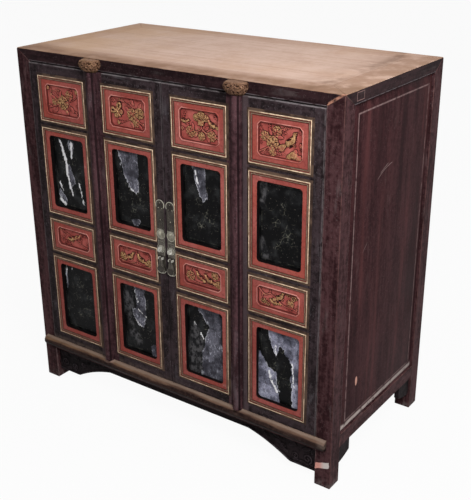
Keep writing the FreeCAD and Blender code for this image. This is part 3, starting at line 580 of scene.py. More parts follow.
def inner_wood():
    coat = Finish("inner_wood")
    streak = coat.noise(70, (0.12, 1, 0.12), detail=6.0)
    cloud = coat.noise(6, detail=4.0)
    coat.start(streak.rise(0.3, 0.7), (112, 84, 60), (148, 116, 86))
    coat.glaze(cloud.rise(0.45, 0.75) * 0.5, (88, 64, 48))
    coat.glaze(coat.mark("arris") * 0.6, (74, 54, 40))
    return coat.close(0.66 + 0.12 * streak, streak, depth=0.3, specular=0.15)


def tarnished_brass(name, dull, bright):
    """Brass gone grey: black in its chasing, pale where it is rubbed or where the mesh says."""
    coat = Finish(name)
    cloud = coat.noise(90, detail=6.0)
    pit = coat.noise(520, detail=3.0, shift=5.0)
    edge = coat.mark("arris")
    hollow = coat.mark("hollow")
    tone = coat.mark("tone")
    pale = (206, 202, 186)
    dark = (34, 27, 24)
    coat.start(cloud.rise(0.35, 0.68), dull, bright)
    coat.glaze(tone.rise(0.0, 1.0) * 0.75, pale)
    coat.glaze((0 - tone).rise(0.0, 1.0) * 0.8, dark)
    coat.glaze(pit.rise(0.58, 0.72) * 0.6, (44, 40, 36))
    coat.glaze(hollow.rise(0.08, 0.6) * 0.85, dark)
    rubbed = hollow.rise(-0.25, -0.9) * (1 + tone).rise(0.2, 1.0)
    coat.glaze(rubbed * 0.6, pale)
    coat.glaze(edge * 0.7, pale)
    metal = 0.3 + 0.2 * edge
    return coat.close(0.38 + 0.25 * cloud, pit, depth=0.12, specular=0.15, metallic=metal)


def settle(mesh, body, slot, material, *stands_for):
    """Makes a finished mesh a piece of the cabinet, riding on its body."""
    made = bpy.data.objects.new(mesh.name, mesh)
    bpy.context.scene.collection.objects.link(made)
    mesh.materials.clear()
    mesh.materials.append(material)
    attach(made, body)
    if stands_for:
        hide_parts(*stands_for)
    return made


def shaped(name, form, sharp):
    """The mesh of a finished form, with an edge wherever it turns by more than sharp degrees."""
    mesh = bpy.data.meshes.new(name)
    form.to_mesh(mesh)
    form.free()
    mesh.set_sharp_from_angle(angle=math.radians(sharp))
    return mesh


def mark_layer(form, name):
    return form.verts.layers.float.get(name) or form.verts.layers.float.new(name)


def bridge(form, near, far):
    """A band of faces between two closed rings of points."""
    for k in range(len(near)):
        after = (k + 1) % len(near)
        form.faces.new((near[k], near[after], far[after], far[k]))


def solids_of(mesh):
    """The closed solids of a CAD node, each a list of triangles of points in whole micrometres."""
    solids, triangles, unmatched = [], [], set()
    for face in mesh.polygons:
        corners = [tuple(round(c / MM * 1000) for c in mesh.vertices[v].co) for v in face.vertices]
        triangles.append(corners)
        for start, end in zip(corners, corners[1:] + corners[:1]):
            if (end, start) in unmatched:
                unmatched.remove((end, start))
            else:
                unmatched.add((start, end))
        if not unmatched:
            solids.append(triangles)
            triangles = []
    return solids + [triangles] if triangles else solids


# Facets that turn by less than the first are joined, and arrises that turn by more than the second
# are rounded, in radians
FLAT_TURN, ARRIS_TURN = math.radians(1), 0.6
# Where a face looks more to the front than this, it is the painted front of a board
FRONT_NORMAL = -0.5


def softened(node, material, arris=0.9):
    """A copy of a CAD node with its arrises rounded and marked for wear, standing for the node."""
    source = frame["nodes"][node]
    slot = source.data.materials[0].name.split(".")[0]
    form = bmesh.new()
    for solid in solids_of(source.data):
        points = {}
        for corners in solid:
            for corner in corners:
                if corner not in points:
                    points[corner] = form.verts.new(Vector(corner) * MM / 1000)
            if len(set(corners)) == 3:
                form.faces.new([points[corner] for corner in corners])
    bmesh.ops.dissolve_limit(form, angle_limit=FLAT_TURN, verts=form.verts, edges=form.edges)
    sharp = [edge for edge in form.edges if edge.is_manifold and edge.calc_face_angle() > ARRIS_TURN]
    rounded = bmesh.ops.bevel(
        form, geom=sharp, offset=arris * MM, offset_type="OFFSET", segments=2,
        profile=0.5, affect="EDGES", clamp_overlap=True,
    )
    worn = form.loops.layers.float.new("arris")
    wall_shade = form.loops.layers.float.new("wall_shade")
    for face in rounded["faces"]:
        for loop in face.loops:
            loop[worn] = 1.0
    for face in form.faces:
        face.smooth = True
        for loop in face.loops:
            loop[wall_shade] = 1.0 if face.normal.y > FRONT_NORMAL else 0.0
    mesh = shaped(node + "_softened", form, 20)
    return settle(mesh, source["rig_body"], slot, material, node)


# How far the worn top of the base moulding swells toward the doors, in mm, and where, in metres
BEAD_SWELL = 1.4
BEAD_WORN_LOW, BEAD_WORN_HIGH = 0.127, 0.137


def base_moulding(material):
    """The half round at the base, its top swollen to just under the doors."""
    bead = softened("base_bead", material, 0.6)
    for vertex in bead.data.vertices:
        upper = (vertex.co.z - BEAD_WORN_LOW) / (BEAD_WORN_HIGH - BEAD_WORN_LOW)
        vertex.co.z += BEAD_SWELL * MM * min(max(upper, 0.0), 1.0)


# The round pivot stiles and the reed down their front, in mm and degrees
COLUMN_X, COLUMN_Y, COLUMN_RADIUS = 225.0, -242.0, 12.0
REED_PROUD = 0.9
REED_HALF = 54.0
REED_LOW, REED_HIGH = 142.5, 961.0


def column_reed(door, sign, material):
    """A shallow reed down the front of a door's round stile."""
    turns = np.linspace(-REED_HALF, REED_HALF, 21)
    fade = np.clip((REED_HALF - np.abs(turns)) / 8, 0, 1)
    reach = COLUMN_RADIUS + REED_PROUD * np.sqrt(1 - (1 - fade) ** 2)
    section = []
    for turn, radius in [*zip(turns, reach), *((turn, COLUMN_RADIUS - 1) for turn in turns[::-1])]:
        ahead, aside = polar(0, 0, radius, turn)
        section.append((sign * COLUMN_X + aside, COLUMN_Y - ahead))
    form = bmesh.new()
    foot, head = (
        [form.verts.new((x * MM, y * MM, z * MM)) for x, y in section] for z in (REED_LOW, REED_HIGH)
    )
    bridge(form, foot, head)
    form.faces.new(list(reversed(foot)))
    form.faces.new(head)
    mesh = swept_mesh(door + "_reed", form)
    settle(mesh, door, "dark_lacquer", material)


def mitred_sweep(form, outline, profile, face):
    """Runs a closed profile round an outline of (x, z), mitred at its corners, all in mm.

    A row of the profile is (distance inward, height out of the face, hollow mark).
    """
    layer = mark_layer(form, "hollow")
    count = len(outline)
    rings = []
    for index in range(count):
        before = Vector(outline[index]) - Vector(outline[index - 1])
        after = Vector(outline[(index + 1) % count]) - Vector(outline[index])
        first = Vector((-before.y, before.x)).normalized()
        second = Vector((-after.y, after.x)).normalized()
        mitre = (first + second) / (1 + first.dot(second))
        ring = []
        for inward, out, hollow in profile:
            x = outline[index][0] + mitre.x * inward
            z = outline[index][1] + mitre.y * inward
            vertex = form.verts.new((x * MM, (face - out) * MM, z * MM))
            vertex[layer] = hollow
            ring.append(vertex)
        rings.append(ring)
    for index in range(count):
        bridge(form, rings[(index + 1) % count], rings[index])


def rectangle(left, right, low, high):
    return [(left, low), (right, low), (right, high), (left, high)]


def canted(left, right, low, high, cant):
    """A rectangle with its corners cut off."""
    return [
        (left + cant, low), (right - cant, low), (right, low + cant), (right, high - cant),
        (right - cant, high), (left + cant, high), (left, high - cant), (left, low + cant),
    ]


def swept_mesh(name, form, sharp=30):
    bmesh.ops.recalc_face_normals(form, faces=form.faces)
    for face in form.faces:
        face.smooth = True
    return shaped(name, form, sharp)


# A fillet on the frame, a gilt crest over the opening's edge, then a red cove and a thin gilt bead
GILT_PROFILE = [
    (-7.0, -0.3, 0.6), (-7.0, 0.1, 0.6), (-5.4, 0.6, 0.55), (-3.4, 1.1, 0.4), (-2.6, 1.3, 0.6),
    (-1.7, 2.5, 0.3), (-0.9, 3.4, -0.3), (0.0, 3.7, -0.7), (0.8, 3.4, -0.4), (1.6, 2.2, 0.6),
    (2.6, 1.3, 1.0), (3.8, 1.1, 0.9), (4.7, 1.3, 0.5), (5.4, 1.7, -0.15), (6.0, 1.5, 0.2),
    (7.0, 0.8, 0.7), (8.0, 0.3, 0.9), (8.0, -12.0, 0.9), (0.0, -12.0, 0.9), (0.0, -0.3, 0.9),
]
# The red bead that stands round a sunk carved field; its hollow marks give painted shade at its foot and
# a painted highlight on its crest
LIP_PROFILE = [
    (2.0, -4.9, 1.0), (1.4, -1.2, 1.0), (0.7, 0.5, 0.9), (0.0, 1.4, -0.2), (-0.9, 1.9, -0.95),
    (-1.9, 1.7, -0.8), (-2.7, 0.6, 0.4), (-2.9, -0.3, 0.8),
]
LIP_CANT = 7.0


def gilt_lines(leaf, material):
    body, left, right = LEAVES[leaf]
    form = bmesh.new()
    for low, high in [*CARVED_ROWS.values(), *LACQUER_ROWS.values()]:
        mitred_sweep(form, rectangle(left, right, low, high), GILT_PROFILE, LEAF_FACE)
    mesh = swept_mesh(leaf + "_gilt_lines", form)
    settle(mesh, body, "gilt_moulding", material, leaf + "_gilt_mouldings")


def carved_lips(leaf, material):
    """The raised lip round each sunk field."""
    body, left, right = LEAVES[leaf]
    sides = (left + CARVED_SIDE_BORDER, right - CARVED_SIDE_BORDER)
    form = bmesh.new()
    for low, high in CARVED_ROWS.values():
        field = canted(*sides, low + CARVED_BORDER, high - CARVED_BORDER, LIP_CANT)
        mitred_sweep(form, field, LIP_PROFILE, BOARD_FACE)
    mesh = swept_mesh(leaf + "_carved_lips", form)
    settle(mesh, body, "carved_red_lacquer", material)


def sheet(form, x, y, z, marks):
    """Faces over rows of points, whose places are in mm. The marks hold a value for each point."""
    layers = [(mark_layer(form, name), values) for name, values in marks.items()]
    rows = []
    for j in range(x.shape[0]):
        row = []
        for i in range(x.shape[1]):
            vertex = form.verts.new((x[j, i] * MM, y[j, i] * MM, z[j, i] * MM))
            for layer, values in layers:
                vertex[layer] = values[j, i]
            row.append(vertex)
        rows.append(row)
    for near, far in zip(rows[:-1], rows[1:]):
        for i in range(len(near) - 1):
            form.faces.new((near[i], near[i + 1], far[i + 1], far[i])).smooth = True
    return rows


def worked_slab(form, x, z, front, back, rise, marks, plain=None):
    """Adds a closed slab whose front is a grid of (x, z) standing rise mm out of the front plane.

    The marks go on the front, and plain holds the values of the same marks on the back.
    """
    rows = sheet(form, x, front - rise, z, marks)
    rim = rows[0][:-1] + [row[-1] for row in rows[:-1]]
    rim += rows[-1][:0:-1] + [row[0] for row in rows[:0:-1]]
    behind = [form.verts.new((v.co.x, back * MM, v.co.z)) for v in rim]
    for name, value in (plain or {}).items():
        layer = mark_layer(form, name)
        for vertex in behind:
            vertex[layer] = value
    bridge(form, behind, rim)
    form.faces.new(list(reversed(behind)))


def slab_mesh(name, form):
    return shaped(name, form, 75)


def smooth_path(points, steps=7):
    """A curve through the points, as a list of points close together."""
    p = np.array([points[0], *points, points[-1]], float)
    found = []
    for k in range(1, len(p) - 2):
        for t in np.linspace(0, 1, steps, endpoint=False):
            a = 2 * p[k]
            b = p[k + 1] - p[k - 1]
            c = 2 * p[k - 1] - 5 * p[k] + 4 * p[k + 1] - p[k + 2]
            d = 3 * p[k] - p[k - 1] - 3 * p[k + 1] + p[k + 2]
            found.append(0.5 * (a + b * t + c * t * t + d * t ** 3))
    found.append(p[-2])
    return found


def path_distance(u, v, path):
    """How far each grid point is from a path of (u, v, width) rows, and the width there."""
    nearest = np.full(u.shape, 1e9)
    carried = np.zeros(u.shape)
    for start, end in zip(path[:-1], path[1:]):
        du, dv = end[0] - start[0], end[1] - start[1]
        length = max(du * du + dv * dv, 1e-9)
        t = np.clip(((u - start[0]) * du + (v - start[1]) * dv) / length, 0, 1)
        away = np.hypot(u - start[0] - t * du, v - start[1] - t * dv)
        value = start[2] + t * (end[2] - start[2])
        closer = away - value < nearest - carried
        nearest = np.where(closer, away, nearest)
        carried = np.where(closer, value, carried)
    return nearest, carried


def blurred(field, reach):
    """The field averaged over a square of cells."""
    for axis in (0, 1):
        padded = np.pad(field, [(reach, reach) if k == axis else (0, 0) for k in (0, 1)], "edge")
        total = np.insert(np.cumsum(padded, axis), 0, 0, axis).swapaxes(0, axis)
        size = 2 * reach + 1
        field = ((total[size:] - total[:-size]) / size).swapaxes(0, axis)
    return field


def field_grid(wide, high, pitch):
    """Grid points over a field, in mm from its centre."""
    across = np.linspace(-wide / 2, wide / 2, int(wide / pitch) + 1)
    up = np.linspace(-high / 2, high / 2, int(high / pitch) + 1)
    return np.meshgrid(across, up)


def direction(turn):
    return math.cos(math.radians(turn)), math.sin(math.radians(turn))


def polar(u, v, reach, turn):
    """The point that lies reach from (u, v), at a turn in degrees."""
    c, s = direction(turn)
    return u + reach * c, v + reach * s


class Carving:
    """Low relief over grid points u and v, in mm from the field's centre."""

    # How much of the gilding is left on the leaves and stems
    FOLIAGE = 0.55

    def __init__(self, u, v, ground=0.22):
        self.u, self.v = u, v
        tooling = np.sin(u * 1.1 + np.sin(v * 0.7)) * np.sin(v * 1.3 + np.sin(u * 0.5))
        self.rise = ground + 0.55 * ground * tooling
        self.gilt = np.zeros_like(u)
        self.tone = np.zeros_like(u)
        self.deep = np.zeros_like(u)

    def lay(self, inside, level, gilt=1.0):
        """Raises a form where it stands over what is already there."""
        over = inside & (level > self.rise)
        self.rise = np.where(over, level, self.rise)
        self.gilt = np.where(over, gilt, self.gilt)
        self.deep = np.where(over, 0.0, self.deep)

    def turned(self, u, v, turn):
        """How far each point is along and aside of a line from (u, v) at a turn."""
        c, s = direction(turn)
        du, dv = self.u - u, self.v - v
        return du * c + dv * s, dv * c - du * s

    def oval(self, u, v, wide, high, turn):
        """0 in the middle of an oval, 1 on its edge and more outside."""
        along, aside = self.turned(u, v, turn)
        return (along / (wide / 2)) ** 2 + (aside / (high / 2)) ** 2

    def shade(self, inside, tone):
        """Says how pale, above 0, or dark the metal is there."""
        self.tone = np.where(inside, tone, self.tone)

    def pocket(self, u, v, wide, high, turn=0.0, depth=2.0):
        """Cuts a pocket into whatever stands there, and marks it deep for painted shade."""
        inside = np.clip(1 - self.oval(u, v, wide, high, turn), 0, 1)
        self.rise = np.maximum(self.rise - depth * inside, 0.06)
        self.deep = np.maximum(self.deep, np.clip(2 * inside, 0, 1))

    def petal(self, u, v, long, wide, turn, foot, top, cup=0.0, vein=0.0, blunt=1.0, gilt=1.0):
        along, aside = self.turned(u, v, turn)
        share = np.clip(along / long, 0, 1)
        half = wide / 2 * np.sin(math.pi * share ** blunt) ** 0.75
        inside = (along > 0) & (along < long) & (np.abs(aside) < half)
        out = np.abs(aside) / np.maximum(half, 1e-6)
        dome = np.sqrt(np.clip(1 - out ** 2, 0, 1))
        hollowed = 0.35 + 0.45 * out ** 2 + 0.35 * share
        level = foot + (top - foot) * ((1 - cup) * dome + cup * hollowed)
        if vein:
            level = level - vein * np.exp(-(aside / 0.55) ** 2)
            ribs = np.cos(2 * math.pi * (along / long * 6 - 0.9 * out)) ** 6
            level = level - 0.6 * vein * ribs * (out < 0.9)
        self.lay(inside, level, gilt)

    def lump(self, u, v, wide, high, top, turn=0.0, gilt=1.0, rough=0.0):
        out = self.oval(u, v, wide, high, turn)
        level = 0.8 + (top - 0.8) * np.sqrt(np.clip(1 - out, 0, 1))
        level = level + rough * np.sin(self.u * 1.9 + self.v) * np.sin(self.v * 2.1)
        self.lay(out < 1, level, gilt)

    def stem(self, points, thick, top, taper=0.6, gilt=1.0):
        curve = smooth_path(points)
        count = len(curve) - 1
        path = [(*p, thick / 2 * (1 - (1 - taper) * k / count)) for k, p in enumerate(curve)]
        away, radius = path_distance(self.u, self.v, path)
        share = np.clip(1 - (away / np.maximum(radius, 1e-6)) ** 2, 0, 1)
        self.lay(away < radius, 0.9 + (top - 0.9) * np.sqrt(share), gilt)

    def branch(self, points, thick, top):
        self.stem(points, thick, top, gilt=self.FOLIAGE)

    def leaf(self, u, v, long, turn, top=2.6):
        self.petal(u, v, long, 0.44 * long, turn, 0.8, top, vein=0.7, blunt=0.85, gilt=self.FOLIAGE)

    def sprig(self, u, v, long, turn):
        """Leaves in pairs along a short stem."""
        end, count, top = polar(u, v, long, turn), 5, 2.4
        self.branch([(u, v), end], 1.3, 1.9)
        for k in range(count):
            start = polar(u, v, long * (k + 0.6) / count, turn)
            self.leaf(*start, long * (0.50 - 0.05 * k), turn + (42 if k % 2 else -42), top)
        self.leaf(*end, long * 0.4, turn, top)

    def sprigs(self, long, *places):
        for u, v, turn in places:
            self.sprig(u, v, long, turn)

    def leaves(self, long, *places):
        for u, v, turn in places:
            self.leaf(u, v, long, turn)

    def peony(self, u, v, size, turn=0.0, top=4.6):
        rings = ((1.0, 9, 0.62, 0.52), (0.74, 7, 0.66, 0.76), (0.48, 5, 0.8, 1.0))
        for ring, (reach, count, wide, high) in enumerate(rings):
            for k in range(count):
                angle = turn + 20 * ring + 360 * k / count
                lift = top * high * (1 - 0.1 * (k % 2))
                long = size * reach
                self.petal(u, v, long, long * wide, angle, 0.4 * lift, lift, cup=0.7, blunt=1.7)
        for k in range(5):
            angle = turn + 12 + 72 * k
            self.pocket(*polar(u, v, 0.6 * size, angle), 0.5 * size, 0.2 * size, angle)
        self.pocket(u, v - 0.14 * size, 0.6 * size, 0.3 * size)
        self.lump(u, v, size * 0.30, size * 0.30, top)
        for k in range(6):
            self.lump(*polar(u, v, size * 0.2, turn + 60 * k), 1.5, 1.5, top + 0.3)

    def bud(self, u, v, size, turn):
        for spread in (-26, 26, 0):
            self.petal(u, v, size, size * 0.55, turn + spread, 1.2, 3.2, cup=0.4, blunt=1.2)

    def bird(self, u, v, size, turn, facing=1, tail=1.0, top=4.6):
        """A bird from the side: facing 1 looks to the right, -1 to the left."""
        def spot(along, over):
            c, s = direction(turn)
            return u + facing * (along * c - over * s) * size, v + (along * s + over * c) * size

        def heading(angle):
            return turn + angle if facing > 0 else 180 - turn - angle

        def feather(start, long, wide, angle, foot, lift, blunt):
            self.petal(*start, long, wide, heading(angle), foot, lift, vein=0.5, blunt=blunt)

        for k, spread in enumerate((-14, -5, 5, 14)):
            long = size * tail * (0.95 - 0.08 * abs(k - 1.5))
            feather(spot(-0.36, 0.02), long, size * 0.17, 180 + spread, 1.4, 2.8, 1.6)
        self.petal(*spot(-0.5, 0.0), size, size * 0.46, heading(4), 1.6, top - 0.4, blunt=1.25)
        self.stem([spot(0.3, 0.05), spot(0.46, 0.2), spot(0.56, 0.3)], size * 0.24, top - 0.3, 0.8)
        self.lump(*spot(0.57, 0.31), size * 0.28, size * 0.25, top)
        self.petal(*spot(0.66, 0.32), size * 0.2, size * 0.1, heading(-8), 1.2, top - 1)
        for k in range(5):
            start = spot(0.2 - 0.06 * k, 0.1 - 0.02 * k)
            feather(start, size * (0.62 - 0.05 * k), size * 0.17, 168 + 9 * k, 2.4, top - 0.1 * k, 1.5)
        self.pocket(*spot(-0.1, -0.27), size * 0.75, size * 0.16, heading(4))
        self.pocket(*spot(-0.02, 0.2), size * 0.5, size * 0.12, heading(-8), 1.2)
        for foot in (0.0, 0.12):
            self.stem([spot(foot, -0.18), spot(foot + 0.05, -0.42)], size * 0.07, 2.0)
        eye_u, eye_v = spot(0.6, 0.34)
        eye = np.hypot(self.u - eye_u, self.v - eye_v) < size * 0.045
        self.rise = np.where(eye, self.rise - 1.0, self.rise)

    def butterfly(self, u, v, size, turn):
        top = 4.2
        for side in (-1, 1):
            wing = turn + side * 48
            self.petal(u, v, size, size * 0.62, wing, 1.4, top, 0.5, 0.6, 1.8)
            self.petal(u, v, size * 0.66, size * 0.5, turn + side * 118, 1.2, top - 0.6, 0.5, 0.5, 1.8)
            self.pocket(*polar(u, v, 0.62 * size, wing), 0.42 * size, 0.22 * size, wing)
        head = polar(u, v, 0.35 * size, turn)
        self.stem([polar(u, v, -0.45 * size, turn), head], size * 0.2, top + 0.3)
        for side in (-1, 1):
            self.stem([head, polar(u, v, 0.8 * size, turn + 22 * side)], 0.9, 1.8)

    def scroll(self, u, v, size, turn, hand=1, thick=2.0, top=2.4, gilt=1.0):
        """A cloud curl: a spiral stroke."""
        points = [polar(u, v, size * (1 - k / 13), turn + hand * 48 * k) for k in range(12)]
        self.stem(points, thick, top, 0.7, gilt)

    def rocks(self, u, v, size):
        lumps = (
            (0, 0, 1.0, 0.8), (0.6, -0.2, 0.8, 0.6), (-0.55, -0.25, 0.8, 0.55),
            (0.2, 0.42, 0.55, 0.5), (1.1, -0.35, 0.6, 0.4),
        )
        for k, (du, dv, wide, high) in enumerate(lumps):
            place = (u + du * size, v + dv * size)
            self.lump(*place, wide * size, high * size, 3.6 - 0.3 * k, 25 * k, 0.8, 0.35)

    def basket(self, u, v, size):
        top = 3.8
        du, dv = (self.u - u) / size, (self.v - v) / size
        half = 0.55 + 0.35 * np.clip(dv, 0, 1) ** 1.5
        inside = (np.abs(du) < half) & (dv > 0) & (dv < 0.85)
        weave = np.sin(du * 26) * np.sin(dv * 24)
        self.lay(inside, top - 0.9 * (du / half) ** 2 + 0.35 * weave)

        def across(points):
            return [(u + a * size, v + b * size) for a, b in points]

        for level in (0.02, 0.85):
            reach = 0.58 + 0.35 * level ** 1.5
            rim = across([(-reach, level), (0, level - 0.05), (reach, level)])
            self.stem(rim, 2.0, top + 0.4, 1.0)
        self.stem(across([(-0.85, 0.85), (-0.6, 1.7), (0.6, 1.7), (0.85, 0.85)]), 1.5, 2.6, 1.0)

    def fill(self, seed, count, reach):
        """Small low leaves and curls wherever the ground is still free."""
        draw = np.random.default_rng(seed)
        wide, high = np.abs(self.u).max() - 3, np.abs(self.v).max() - 3
        for k in range(count):
            u, v, turn = draw.uniform(-wide, wide), draw.uniform(-high, high), draw.uniform(0, 360)
            near = np.hypot(self.u - u, self.v - v) < reach * 0.6
            if self.rise[near].max() > 0.6:
                continue
            if k % 3 == 0:
                self.scroll(u, v, reach * 0.45, turn, 1 if k % 2 else -1, 1.3, 1.5, 0.15)
            else:
                self.leaf(u, v, reach, turn, 1.6)

    def hollow(self, fine, broad):
        """Above 0 in the hollows and below 0 on the ridges, judged over two reaches in cells."""
        near = (blurred(self.rise, fine) - self.rise) / 0.5
        wide = (blurred(self.rise, broad) - self.rise) / 2.0
        return np.maximum(np.clip(0.7 * near + 0.7 * wide, -1, 1), self.deep)

    def marks(self):
        return {"gilding": self.gilt, "hollow": self.hollow(2, 8)}


def carve_peony_spray(field):
    field.branch([(-54, -24), (-32, -16), (-6, -8), (14, -2), (40, 8), (55, 24)], 3.0, 2.4)
    field.branch([(-6, -8), (-16, 8), (-34, 20), (-52, 28)], 2.2, 2.2)
    field.branch([(14, -2), (26, -14), (46, -26)], 2.0, 2.2)
    field.sprigs(
        17, (-44, -22, 160), (-34, 20, 20), (-48, 8, 80),
        (30, 20, 100), (44, -8, 0), (38, -30, 10),
    )
    field.leaves(
        19, (-14, 8, 70), (22, 2, 60), (6, -22, -50),
        (-22, -20, -130), (26, -12, -60), (-30, 2, 150),
    )
    field.peony(-2, -5, 20, 10)
    field.peony(22, 17, 13, 40, 4.0)
    field.peony(-31, -6, 12, 0, 3.8)
    field.bud(46, 24, 11, 50)
    field.bud(-50, 26, 10, 140)
    field.fill(11, 40, 8)


def carve_butterfly_and_peonies(field):
    field.branch([(56, -28), (34, -18), (20, -6), (0, -18), (-24, -28)], 2.8, 2.3)
    field.branch([(-52, 24), (-26, 29), (-4, 22), (16, 10)], 2.2, 2.2)
    field.sprigs(15, (-40, 27, -170), (-12, 26, 160), (-16, -26, 180), (42, -24, 0), (0, 24, 40))
    field.leaves(
        18, (34, 14, 60), (48, 2, 20), (8, -22, -60),
        (4, 6, 150), (32, -26, -40), (18, 20, 110),
    )
    field.butterfly(-34, -1, 26, 122)
    field.peony(13, -3, 17, 0)
    field.peony(37, 3, 15, 25, 4.3)
    field.peony(25, -22, 12, 10, 3.8)
    field.bud(-28, -27, 10, 190)
    field.fill(12, 40, 8)


def carve_flower_basket(field):
    field.basket(4, 4, 13)
    field.peony(4, 25, 12, 0, 4.4)
    field.peony(-11, 20, 9, 30, 3.8)
    field.peony(19, 21, 9, 60, 3.8)
    field.branch([(4, 4), (4, -4), (-4, -12), (-30, -16), (-56, -8)], 2.8, 2.4)
    field.branch([(4, -4), (18, -14), (40, -16), (56, -26)], 2.8, 2.4)
    field.sprigs(
        15, (-46, -12, 190), (-38, -6, 80), (46, -20, 0),
        (32, -12, 80), (-52, 14, 60), (50, 20, 120),
    )
    field.leaves(17, (-8, -16, -120), (20, -22, -60), (-20, -10, 100), (14, -8, 40))
    field.peony(-28, -17, 14, 0)
    field.peony(35, -20, 13, 20, 4.3)
    field.peony(5, -24, 11, 50, 3.9)
    field.bird(36, 7, 22, 20, -1, 0.7)
    field.bird(-44, 6, 17, -6, 1, 0.7, 4.0)
    field.fill(13, 40, 8)


def carve_pheasant_on_rocks(field):
    field.rocks(34, -28, 22)
    field.branch([(-58, -32), (-36, -20), (-20, -4), (-10, 14), (6, 30)], 3.0, 2.4)
    field.branch([(-20, -4), (-40, 8), (-54, 24)], 2.2, 2.2)
    field.sprigs(
        15, (-52, 16, 110), (-32, 22, 80), (4, 27, 20),
        (-50, -30, 0), (2, -32, 170), (48, 22, 60),
    )
    field.leaves(18, (-10, 8, 0), (-32, -16, -60), (-42, 8, 190), (-8, -14, -30), (-24, 10, 120))
    field.peony(-22, -7, 17, 0)
    field.peony(-10, 21, 13, 30, 4.3)
    field.peony(-43, 6, 12, 10, 4.0)
    field.peony(-22, -29, 10, 10, 3.8)
    field.bird(27, 2, 32, 36, 1, 1.0)
    field.bud(52, -8, 11, 70)
    field.fill(14, 40, 8)


def carve_slanting_foliage(field):
    field.branch([(-57, 20), (-26, 10), (4, -4), (34, -16), (57, -22)], 2.8, 2.4)
    field.branch([(-42, -23), (-12, -8), (14, 4), (46, 21)], 2.4, 2.3)
    field.sprigs(
        13,
        (-46, 15, 55), (-36, 11, -110), (20, -10, 60), (32, -16, -40), (44, -18, 60),
        (28, 12, 120), (36, 16, 0), (-30, -17, 150), (-22, -14, -60), (-52, 0, -80),
    )
    field.bird(-9, -3, 22, -28, -1, 0.9)
    field.bird(15, 6, 17, 22, 1, 0.8, 4.0)
    field.fill(15, 25, 7)


def carve_two_birds(field):
    field.branch([(-57, -17), (-30, -21), (0, -18), (30, -21), (57, -15)], 2.6, 2.3)
    field.sprigs(
        12,
        (-50, -15, 90), (-48, 6, 50), (40, -16, 80), (48, 2, 100),
        (36, 15, 150), (-32, 15, 20), (0, 10, 70), (3, -19, 90),
    )
    field.bird(-19, -3, 25, 24, 1, 0.8)
    field.bird(18, -3, 25, 24, -1, 0.8)
    field.peony(-46, -5, 11, 0, 4.0)
    field.peony(47, -8, 11, 20, 4.0)
    field.fill(16, 25, 7)


def carve_birds_among_flowers(field):
    field.branch([(-57, -10), (-34, -17), (-8, -20), (24, -16), (57, -21)], 2.6, 2.3)
    field.sprigs(
        12,
        (-52, -8, 90), (-42, 8, 60), (36, -15, 50), (50, -17, 100),
        (6, 16, 20), (-20, 17, 160), (52, 6, 120),
    )
    field.peony(-40, -5, 14, 10)
    field.peony(37, 13, 11, 0, 4.0)
    field.bird(-11, -2, 22, 30, -1, 0.7)
    field.bird(19, -4, 24, 18, -1, 0.8)
    field.peony(48, -10, 11, 40, 4.0)
    field.fill(17, 25, 7)


def carve_branch_and_clouds(field):
    field.branch([(-57, 18), (-40, 4), (-24, 10), (-6, 0), (16, -13), (44, -15), (57, -21)], 3.2, 2.6)
    field.sprigs(12, (-46, 8, -100), (-26, 8, 80), (24, -14, -30), (36, -14, 70), (50, -17, 80))
    field.scroll(42, 12, 8, 0, 1, 2.4)
    field.scroll(27, 17, 6, 180, -1, 2.0)
    field.scroll(-46, -14, 8, 60, -1, 2.4)
    field.scroll(-30, -18, 6, 120, 1, 2.0)
    field.bird(4, 6, 23, 30, 1, 0.8)
    field.bird(-12, -11, 19, 0, -1, 0.8, 4.2)
    field.peony(32, -3, 11, 0, 4.0)
    field.fill(18, 25, 7)


CARVINGS = {
    "fixed_leaf_left": {"upper": carve_peony_spray, "lower": carve_slanting_foliage},
    "door_left": {"upper": carve_butterfly_and_peonies, "lower": carve_two_birds},
    "door_right": {"upper": carve_flower_basket, "lower": carve_birds_among_flowers},
    "fixed_leaf_right": {"upper": carve_pheasant_on_rocks, "lower": carve_branch_and_clouds},
}


# How far apart the grid points of a carved field are, and the least and most of its relief, in mm
CARVED_PITCH = 0.6
CARVED_RELIEF = (0.05, 4.9)


def carved_reliefs(leaf, material):
    body, left, right = LEAVES[leaf]
    for row, (low, high) in CARVED_ROWS.items():
        wide, tall = right - left - 2 * CARVED_SIDE_BORDER, high - low - 2 * CARVED_BORDER
        field = Carving(*field_grid(wide, tall, CARVED_PITCH))
        CARVINGS[leaf][row](field)
        form = bmesh.new()
        x, z = field.u + (left + right) / 2, field.v + (low + high) / 2
        rise = np.clip(field.rise, *CARVED_RELIEF)
        worked_slab(form, x, z, CARVED_GROUND, CARVED_BACK, rise, field.marks())
        mesh = slab_mesh(leaf + "_" + row + "_carving", form)
        settle(mesh, body, "carved_red_lacquer", material)


